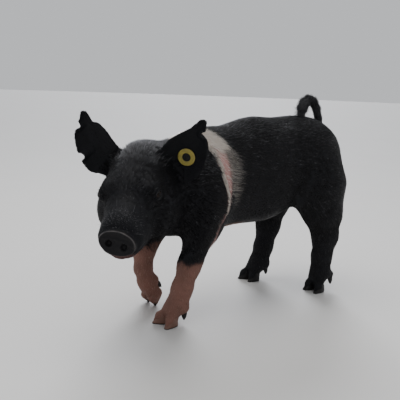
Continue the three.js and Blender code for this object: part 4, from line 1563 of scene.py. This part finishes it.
class PIG_OT_coat(bpy.types.Operator):
    """Grow the short black coat, the white belt, the bristles and the fringes"""

    bl_idname = "pig.coat"
    bl_label = "Coat"

    def execute(self, context):
        shape, look = context.scene.pig_shape, context.scene.pig_look
        roots = Roots(bpy.data.objects["skin"].data)
        hair = hair_finish("pig_hair", look, 0.26)
        self.trunk_coat(roots, hair, shape)
        self.leg_coat(roots, hair, shape)
        self.head_coat(roots, hair_finish("pig_hair_face", look, 0.08), shape)
        self.belt(roots, hair, shape)
        self.bristles(roots, hair, shape)
        self.fringes(roots, hair, shape)
        return {"FINISHED"}

    @staticmethod
    def trunk_coat(roots, hair, shape):
        """Short hair, sleek and close, over the trunk, neck and tail."""
        rng = np.random.default_rng(SEED)
        points, normals = roots.spread(shape.trunk_tufts, trunk_weight, SEED + 1)
        order = np.argsort(points[:, 1] + 1000 * (points[:, 0] > 0))
        for i, chosen in enumerate(np.array_split(order, 4)):
            at, n = points[chosen], normals[chosen]
            lie, run = on_tail(at, lie_of_coat(at, n))
            lie = combed(lie, n, TRUNK_HAIR.stray, rng)
            count = len(chosen)
            _, y, z = at.T
            nape = ramp(y, -62, -30) * ramp(z, 230, 40)
            top = ramp(z, 292, 30)
            # grey-tipped hairs: a few everywhere and more on the nape; the extra ones along the top
            # of the back are painted backlight sheen
            pale = rng.random(count) < 0.03 + 0.20 * nape + 0.16 * top
            shares = (belt_share(at) * (rng.random(count) < 0.9), belly_share(at),
                      rng.random(count), pale * rng.uniform(0.3, 0.9, count))
            length = rng.uniform(*TRUNK_HAIR.length, count) * np.where(run > 0, 0.7, 1.0)
            width = rng.uniform(*TRUNK_HAIR.width, count) * (1 - 0.25 * pale)
            rise = rng.uniform(*TRUNK_HAIR.rise, count) + 0.9 * top + 0.7 * nape
            grown(f"coat_trunk_{i + 1}", at, n, lie, length, width, rise, shares, "trunk", hair, rng)

    @staticmethod
    def leg_coat(roots, hair, shape):
        """Shorter, finer hair down the legs, thin on the pink forelegs."""
        rng = np.random.default_rng(SEED + 5)
        points, normals = roots.spread(shape.leg_tufts, leg_weight, SEED + 2)
        lie = combed(lie_of_coat(points, normals), normals, LEG_HAIR.stray, rng)
        count = len(points)
        bare = np.maximum(bare_share(points), belly_share(points))
        shares = (belt_share(points), bare, rng.random(count), 0.4 * (rng.random(count) < 0.03))
        room = np.clip((points[:, 2] - 4) / 14, 0.15, 1)
        length = rng.uniform(*LEG_HAIR.length, count) * room
        width = rng.uniform(*LEG_HAIR.width, count) * np.where(bare > 0.5, 0.6, 1.0)
        rise = rng.uniform(*LEG_HAIR.rise, count)
        grown("coat_legs", points, normals, lie, length, width, rise, shares, "legs", hair, rng)

    @staticmethod
    def head_coat(roots, hair, shape):
        """The shortest hair, over the face and ears."""
        rng = np.random.default_rng(SEED + 10)
        points, normals = roots.spread(shape.head_tufts, head_weight, SEED + 11)
        ear, height, _ = ear_share(points)
        lie = on_ears(points, lie_of_coat(points, normals))
        lie = combed(lie, normals, HEAD_HAIR.stray, rng)
        head = brought(points, HEAD)
        order = np.argsort(head[:, 0])
        for i, chosen in enumerate(np.array_split(order, 2)):
            count = len(chosen)
            pale = (rng.random(count) < 0.025) * rng.uniform(0.2, 0.7, count) * (
                ear[chosen] < 0.5)
            shares = (0, 0, rng.random(count), pale)
            face = np.clip((head[chosen, 1] + 182) / 100, 0.32, 1)
            mouth = bell(mouth_height(head[chosen]) / 8) * (head[chosen, 1] < -88)
            face = face * (1 - 0.62 * mouth)
            tip = 1 - 0.5 * ramp(height[chosen], 0.75, 0.2)
            size = np.where(ear[chosen] > 0.5, 0.38 * tip, face)
            length = rng.uniform(*HEAD_HAIR.length, count) * size
            width = rng.uniform(*HEAD_HAIR.width, count)
            rise = rng.uniform(*HEAD_HAIR.rise, count) * size
            grown(f"coat_head_{i + 1}", points[chosen], normals[chosen], lie[chosen], length,
                  width, rise, shares, "head", hair, rng)

    @staticmethod
    def belt(roots, hair, shape):
        """Long white hair over the withers, down the belt's front edge and fanned behind it."""
        rng = np.random.default_rng(SEED + 20)
        points, normals = roots.spread(shape.belt_tufts, belt_weight, SEED + 21)
        x, _, z = points.T
        behind, half = belt_place(points)
        front = ramp(behind / half, 0.25, -1.1)
        fall = np.interp(z, *BELT_FALL) + front * np.interp(z, *BELT_FRONT_FALL)
        lie = np.stack([0.3 * np.sign(x) * (z > 300), 1 + 0 * x, -fall], axis=1)
        lie = combed(lie, normals, BELT_HAIR.stray, rng)
        count = len(points)
        fan = (behind / half > 0.1) & (z < 300)
        shares = (np.where(fan, rng.uniform(0.2, 0.85, count), 1.0), 0, rng.random(count), 0)
        low = np.clip((z - 150) / 60, 0.3, 1)
        long = np.where(fan, rng.uniform(*BELT_FAN.length, count),
                        np.where(front > 0.5, rng.uniform(*BELT_FRONT_LENGTH, count),
                                 rng.uniform(*BELT_HAIR.length, count)))
        thick = np.where(fan, rng.uniform(*BELT_FAN.width, count),
                         rng.uniform(*BELT_HAIR.width, count))
        rise = rng.uniform(*BELT_HAIR.rise, count) + fan * rng.uniform(*BELT_FAN.rise, count)
        grown("coat_belt", points, normals, lie, long * low, thick, rise * low, shares, "trunk",
              hair, rng, LONG_RINGS)

    @staticmethod
    def bristles(roots, hair, shape):
        """Grey-tipped bristles over the poll and crest, fewer along the back; their grey, strongest
        where they stand up, is partly painted backlight sheen.
        """
        rng = np.random.default_rng(SEED + 30)
        points, normals = roots.spread(shape.bristles, bristle_weight, SEED + 31)
        lie = combed(lie_of_coat(points, normals), normals, BRISTLE.stray, rng)
        count = len(points)
        head = brought(points, HEAD)
        poll = bell(head[:, 1] / 30, head[:, 0] / 40) * (head[:, 2] > 20)
        crest = ramp(points[:, 1], -105, -30)
        stand = np.clip(np.maximum(poll, crest), 0, 1)
        white = belt_share(points)
        back, added = BRISTLE_RISE
        rise = (back + added * stand * (1 - 0.75 * white)) * rng.uniform(*BRISTLE.rise, count)
        # grey tips, strongest on the poll and crest: partly painted backlight sheen
        shares = (white, 0, rng.random(count), rng.uniform(0.0, 0.7, count) * (0.35 + 0.65 * stand))
        grown("coat_bristles", points, normals, lie, rng.uniform(*BRISTLE.length, count),
              rng.uniform(*BRISTLE.width, count), rise, shares, "trunk", hair, rng, LONG_RINGS)

    @staticmethod
    def fringes(roots, hair, shape):
        """The hair of the tail's end, the muzzle's bristles and whiskers, and the lashes."""
        rng = np.random.default_rng(SEED + 40)
        points, normals = roots.spread(shape.tail_tufts, tail_weight, SEED + 41)
        lie, run = on_tail(points, lie_of_coat(points, normals))
        count = len(points)
        tail = (points, normals, combed(lie, normals, TAIL_HAIR.stray, rng),
                rng.uniform(*TAIL_HAIR.length, count) * (1 + 0.6 * ramp(run, 0.75, 0.2)),
                rng.uniform(*TAIL_HAIR.width, count),
                rng.uniform(*TAIL_HAIR.rise, count) * (0.5 + 0.8 * run),
                rng.uniform(0.08, 0.5, count))
        points, normals = roots.spread(shape.whiskers, muzzle_weight, SEED + 42)
        lie = combed(lie_of_coat(points, normals), normals, MUZZLE_HAIR.stray, rng)
        count = len(points)
        long = rng.random(count) < WHISKER_CHANCE
        muzzle = (points, normals, lie,
                  np.where(long, rng.uniform(*WHISKER_LENGTH, count),
                           rng.uniform(*MUZZLE_HAIR.length, count)),
                  rng.uniform(*MUZZLE_HAIR.width, count),
                  np.where(long, rng.uniform(*WHISKER_RISE, count),
                           rng.uniform(*MUZZLE_HAIR.rise, count)),
                  rng.uniform(0.2, 0.9, count))
        points, normals = roots.spread(shape.lashes, lash_weight, SEED + 43)
        out = np.array(HEAD)[:3, :3] @ np.array((0, -0.75, -0.25))
        count = len(points)
        lashes = (points, normals, combed(np.tile(out, (count, 1)), normals, LASH.stray, rng),
                  rng.uniform(*LASH.length, count), rng.uniform(*LASH.width, count),
                  rng.uniform(*LASH.rise, count), rng.uniform(0.0, 0.15, count))
        *tufts, grey = (np.concatenate(column) for column in zip(tail, muzzle, lashes))
        shares = (0, 0, rng.random(len(grey)), grey)
        grown("coat_fringes", *tufts, shares, "head", hair, rng, LONG_RINGS)


EYE_ROOM = 0.3                  # the eyeballs are this much smaller than the lids' hollow
CORNEA_BULGE = 0.055
CORNEA_EDGE = 0.72
PUPIL_EDGE = 17                 # degrees from the middle of the eye
IRIS_EDGE = 50


class PIG_OT_eyes(bpy.types.Operator):
    """Make both eyeballs"""

    bl_idname = "pig.eyes"
    bl_label = "Eyes"

    def execute(self, context):
        finish = eye_finish(context.scene.pig_look)
        for name, side in (("eye_left", 1), ("eye_right", -1)):
            bm = bmesh.new()
            bmesh.ops.create_uvsphere(bm, u_segments=48, v_segments=32,
                                      radius=(EYE_RADIUS - EYE_ROOM) * MM)
            bmesh.ops.recalc_face_normals(bm, faces=bm.faces)
            bulge = CORNEA_BULGE * EYE_RADIUS * MM
            for vert in bm.verts:
                facing = max(0.0, vert.co.z / (EYE_RADIUS * MM))
                vert.co += vert.co.normalized() * bulge * max(0.0, facing - CORNEA_EDGE) * 3.5
            mesh = mesh_of(bm, name)
            co = coordinates(mesh) / MM
            polar = np.degrees(np.arccos(np.clip(co[:, 2] / size_of(co), -1, 1)))
            add_share(mesh, "pupil", ramp(polar, PUPIL_EDGE, -3))
            add_share(mesh, "white_of_eye", ramp(polar, IRIS_EDGE, 5))
            place_vertices(mesh, to_frame(carried(carried(co, eye_frame(side)), HEAD)))
            shade_smooth(mesh)
            if side < 0:
                mesh.flip_normals()
            new_piece(f"{name}ball", mesh, finish, "eye", [name])
        return {"FINISHED"}


TIDE_HEIGHT = 2.4               # horn is dark up to this height
HOOF_HEEL_WIDTH = 0.95          # share of the solid hoof's width at its heel
HOOF_NARROWING = 0.37           # shares of its width and height lost at its toe
HOOF_LOWERING = 0.24
SOLE = 0.0014                   # horn lower than this is flat on the ground, in metres


def shaped_hooves(points):
    """Draws every hoof finer towards its toe. Also gives how dark the horn is there, 0 to 1: near the
    ground on the standing hooves, and painted shade over the toes of the hanging ones.
    """
    found, nearest = points.copy(), empty(points)
    low_dark_and_toe_shade = np.zeros(len(points))
    for leg in LEGS.values():
        for toe, turn in leg["digits"]:
            place = digit_frame(toe, turn, leg["hang"])
            q = brought(points, place)
            away = size_of(q - np.array((0, 0, 9)))
            mine = away < nearest
            nearest[mine] = away[mine]
            toeward = np.clip(-q[:, 1] / HOOF_REACH, 0, 1)
            # the hanging hoof's darker toe is painted shade; the standing hooves are darker close to
            # the ground
            dark = ramp(-q[:, 1], 6, 3) if leg["hang"] else np.clip(TIDE_HEIGHT - q[:, 2], 0, 1)
            low_dark_and_toe_shade[mine] = dark[mine]
            q[:, 0] *= HOOF_HEEL_WIDTH - HOOF_NARROWING * toeward
            q[:, 2] *= 1 - HOOF_LOWERING * toeward
            found[mine] = carried(q, place)[mine]
    return found, low_dark_and_toe_shade


class PIG_OT_feet(bpy.types.Operator):
    """Make the hooves and dewclaws"""

    bl_idname = "pig.feet"
    bl_label = "Hooves and dewclaws"

    def execute(self, context):
        look = context.scene.pig_look
        pale = horn_finish("pale_horn", look.hoof_pale, look.hoof_dark)
        dark = horn_finish("dark_horn", look.hoof_dark, look.hoof_dark)
        hooves = {end: [f"{leg}_hoof_{toe}" for leg in LEGS if leg.startswith(end)
                        for toe in ("inner", "outer")] for end in ("fore", "hind")}
        claws = [f"{leg}_dewclaw_{toe}" for leg in LEGS for toe in ("inner", "outer")]
        groups = {
            "hooves_fore": (hooves["fore"], pale, "pale_hoof"),
            "hooves_hind": (hooves["hind"], dark, "dark_hoof"),
            "dewclaws": (claws, dark, "dark_hoof"),
        }
        for name, (nodes, finish, slot) in groups.items():
            raw = mesh_of(copy_of_nodes(nodes), name)
            mesh = settled(raw, ("REMESH", {"mode": "VOXEL", "voxel_size": 0.001}),
                           ("SMOOTH", {"factor": 0.7, "iterations": 45}))
            co = coordinates(mesh)
            if name != "dewclaws":
                co[co[:, 2] < SOLE, 2] = 0.0
                # the dark share: darker near the ground, and painted shade on the hanging toes
                shaped, low_dark_and_toe_shade = shaped_hooves(to_body(co))
                co = to_frame(shaped)
                add_share(mesh, "low_dark_and_toe_shade", low_dark_and_toe_shade)
            place_vertices(mesh, co)
            shade_smooth(mesh)
            new_piece(name, mesh, finish, slot, nodes)
        return {"FINISHED"}


TAG_SPOT = (0.1, 0.36)          # across and up the left ear
TAG_RADIUS = 14.0
TAG_BORE = 7.0
TAG_THICKNESS = 2.4
TAG_PIN = 2.6
TAG_LIFT = 2.2
TAG_LEAF = 4.6                  # thickness of the ear where the tag goes through it


def spun(profile, segments=64):
    """A ring or disc spun from (radius, height) points, closed along the axis."""
    bm = bmesh.new()
    verts = [bm.verts.new((radius, 0, height)) for radius, height in profile]
    edges = [bm.edges.new(pair) for pair in zip(verts, verts[1:])]
    bmesh.ops.spin(bm, geom=verts + edges, cent=(0, 0, 0), axis=(0, 0, 1), dvec=(0, 0, 0),
                   angle=2 * math.pi, steps=segments, use_merge=True, use_duplicate=False)
    bmesh.ops.remove_doubles(bm, verts=bm.verts[:], dist=1e-4)
    bmesh.ops.recalc_face_normals(bm, faces=bm.faces[:])
    return bm


class PIG_OT_tag(bpy.types.Operator):
    """Make the plain two-piece ear tag"""

    bl_idname = "pig.tag"
    bl_label = "Ear tag"

    def execute(self, context):
        look = context.scene.pig_look
        leaf = EarLeaf(EARS["ear_left"])
        u, v = TAG_SPOT

        def spot(a, b):
            return Vector(leaf.middle(np.array([a]), np.array([b]))[0])

        across = spot(u + 0.05, v) - spot(u - 0.05, v)
        up = spot(u, v + 0.05) - spot(u, v - 0.05)
        out = across.cross(up).normalized()
        if out.y > 0:
            out = -out
        half = 0.5 * TAG_LEAF * (1 - 0.35 * v)
        front = spot(u, v) + out * half
        place = HEAD @ Matrix.Translation(front) @ out.to_track_quat("Z", "Y").to_matrix().to_4x4()
        # the ring's darker patches are dirt and painted shade
        yellow = tag_finish("tag_yellow", look.tag, look.tag_shade, Subsurface_Weight=0.25,
                            Subsurface_Radius=(0.004, 0.003, 0.001), Subsurface_Scale=1.0)
        stud = tag_finish("tag_stud", look.tag_stud, scaled(look.tag_stud, 2.2),
                          Specular_IOR_Level=0.15)
        low, high = TAG_LIFT, TAG_LIFT + TAG_THICKNESS
        rear = -2 * half - 0.6
        end = rear - TAG_THICKNESS
        rim, pin, bore = TAG_RADIUS, TAG_PIN, TAG_BORE
        ring = [(bore, low), (rim - 0.8, low), (rim, low + 0.8), (rim, high - 0.7),
                (rim - 1.0, high), (rim - 2.6, high), (rim - 3.0, high - 0.35),
                (bore + 1.6, high - 0.35), (bore + 1.2, high), (bore, high - 0.4), (bore, low)]
        head = bore - 0.3
        pieces = {
            "tag_front": (ring, yellow, "tag_yellow", "tag_ring"),
            "tag_pin": ([(0, end), (pin, end), (pin, low),
                         (head, low), (head, high - 0.8), (head - 0.8, high - 0.2),
                         (pin + 0.6, high - 0.2), (pin + 0.2, high + 0.6), (0.9, high + 0.8),
                         (0.7, high + 0.2), (0, high + 0.1)], stud, "tag_dark", "tag_stud"),
            "tag_back": ([(pin + 0.3, end), (rim - 1.2, end), (rim, end + 1.0), (rim - 0.8, rear),
                          (pin + 0.3, rear), (pin + 0.3, end)], yellow, "tag_yellow", "tag_button"),
        }
        for name, (profile, finish, slot, node) in pieces.items():
            mesh = mesh_of(spun(profile), name)
            place_vertices(mesh, to_frame(carried(coordinates(mesh), place)))
            shade_smooth(mesh)
            mesh.set_sharp_from_angle(angle=math.radians(35))
            new_piece(name, mesh, finish, slot, [node])
        return {"FINISHED"}


CAMERA_PLACE = (0.794717, -0.630149)
CAMERA_TURN = (78.2553, -2.0018, 54.2803)  # degrees about X, Y and Z


KEY_PLACE = (-0.25, -0.15, 2.2)
KEY_AIM = (0, 0, 0.2)
KEY_SIZE = 1.8
RIM_PLACE = (-5.1, 3.9, 3.6)
RIM_SPREAD = math.radians(32)
FLOOR_RADIUS = 14


def add_lamp(name, kind, power, place, aim, colour):
    """A lamp that shines from a place to an aim. Gives the lamp and its settings."""
    data = bpy.data.lights.new(name, kind)
    data.energy, data.color = power, colour
    light = bpy.data.objects.new(name, data)
    light.location = place
    light.rotation_euler = (Vector(aim) - Vector(place)).to_track_quat("-Z", "Y").to_euler()
    bpy.context.scene.collection.objects.link(light)
    return light, data


def studio_light(look):
    """Even light, slightly brighter from above than from near the floor."""
    world = bpy.data.worlds.new("studio")
    world.use_nodes = True
    tree = world.node_tree
    background = tree.nodes["Background"]
    where = tree.nodes.new("ShaderNodeTexCoord")
    split = tree.nodes.new("ShaderNodeSeparateXYZ")
    climb = tree.nodes.new("ShaderNodeMapRange")
    climb.interpolation_type = "SMOOTHSTEP"
    span = {"From Min": 0.12, "From Max": 0.7, "To Min": look.horizon * look.sky,
            "To Max": look.sky}
    for name, value in span.items():
        climb.inputs[name].default_value = value
    tree.links.new(where.outputs["Generated"], split.inputs[0])
    tree.links.new(split.outputs["Z"], climb.inputs["Value"])
    tree.links.new(climb.outputs[0], background.inputs["Strength"])
    background.inputs["Color"].default_value = (0.95, 0.97, 1.0, 1)
    return world


class PIG_OT_stage(bpy.types.Operator):
    """Set the floor, the lights and the camera"""

    bl_idname = "pig.stage"
    bl_label = "Stage"

    def execute(self, context):
        look = context.scene.pig_stage
        bm = bmesh.new()
        bmesh.ops.create_circle(bm, cap_ends=True, segments=96, radius=FLOOR_RADIUS)
        mesh = mesh_of(bm, "floor")
        mesh.materials.append(floor_finish(look))
        floor = bpy.data.objects.new("floor", mesh)
        context.scene.collection.objects.link(floor)
        context.scene.world = studio_light(look)
        key, disk = add_lamp("key", "AREA", look.key, KEY_PLACE, KEY_AIM, (1.0, 0.98, 0.95))
        disk.shape, disk.size = "DISK", KEY_SIZE
        key.visible_camera = False
        _, sun = add_lamp("rim", "SUN", look.rim, RIM_PLACE, (0, 0, 0), (0.93, 0.95, 1.0))
        sun.angle = RIM_SPREAD
        data = bpy.data.cameras.new("camera")
        data.lens = look.lens
        data.sensor_width = 36
        data.clip_start = 0.01
        camera = bpy.data.objects.new("camera", data)
        camera.location = (*CAMERA_PLACE, look.eye_height)
        camera.rotation_euler = [math.radians(turn) for turn in CAMERA_TURN]
        context.scene.collection.objects.link(camera)
        context.scene.camera = camera
        return {"FINISHED"}


class PIG_PT_panel(bpy.types.Panel):
    """Lists the pieces of the pig"""

    bl_label = "Young Belted Pig"
    bl_idname = "PIG_PT_panel"
    bl_space_type = "VIEW_3D"
    bl_region_type = "UI"
    bl_category = "Pig"

    def draw(self, context):
        for operator in OPERATORS:
            self.layout.operator(operator.bl_idname)
        for group in (context.scene.pig_shape, context.scene.pig_look, context.scene.pig_stage):
            column = self.layout.column()
            for name in group.__annotations__:
                column.prop(group, name)


OPERATORS = (PIG_OT_skin, PIG_OT_coat, PIG_OT_eyes, PIG_OT_feet, PIG_OT_tag, PIG_OT_stage)
CLASSES = (PigShape, PigLook, StageLook, *OPERATORS, PIG_PT_panel)


def register():
    for cls in CLASSES:
        bpy.utils.register_class(cls)
    bpy.types.Scene.pig_shape = PointerProperty(type=PigShape)
    bpy.types.Scene.pig_look = PointerProperty(type=PigLook)
    bpy.types.Scene.pig_stage = PointerProperty(type=StageLook)


def unregister():
    for name in ("pig_shape", "pig_look", "pig_stage"):
        delattr(bpy.types.Scene, name)
    for cls in reversed(CLASSES):
        bpy.utils.unregister_class(cls)


def main():
    register()
    for make in (bpy.ops.pig.skin, bpy.ops.pig.eyes, bpy.ops.pig.feet, bpy.ops.pig.tag,
                 bpy.ops.pig.coat, bpy.ops.pig.stage):
        make()


if __name__ == "__main__":
    main()
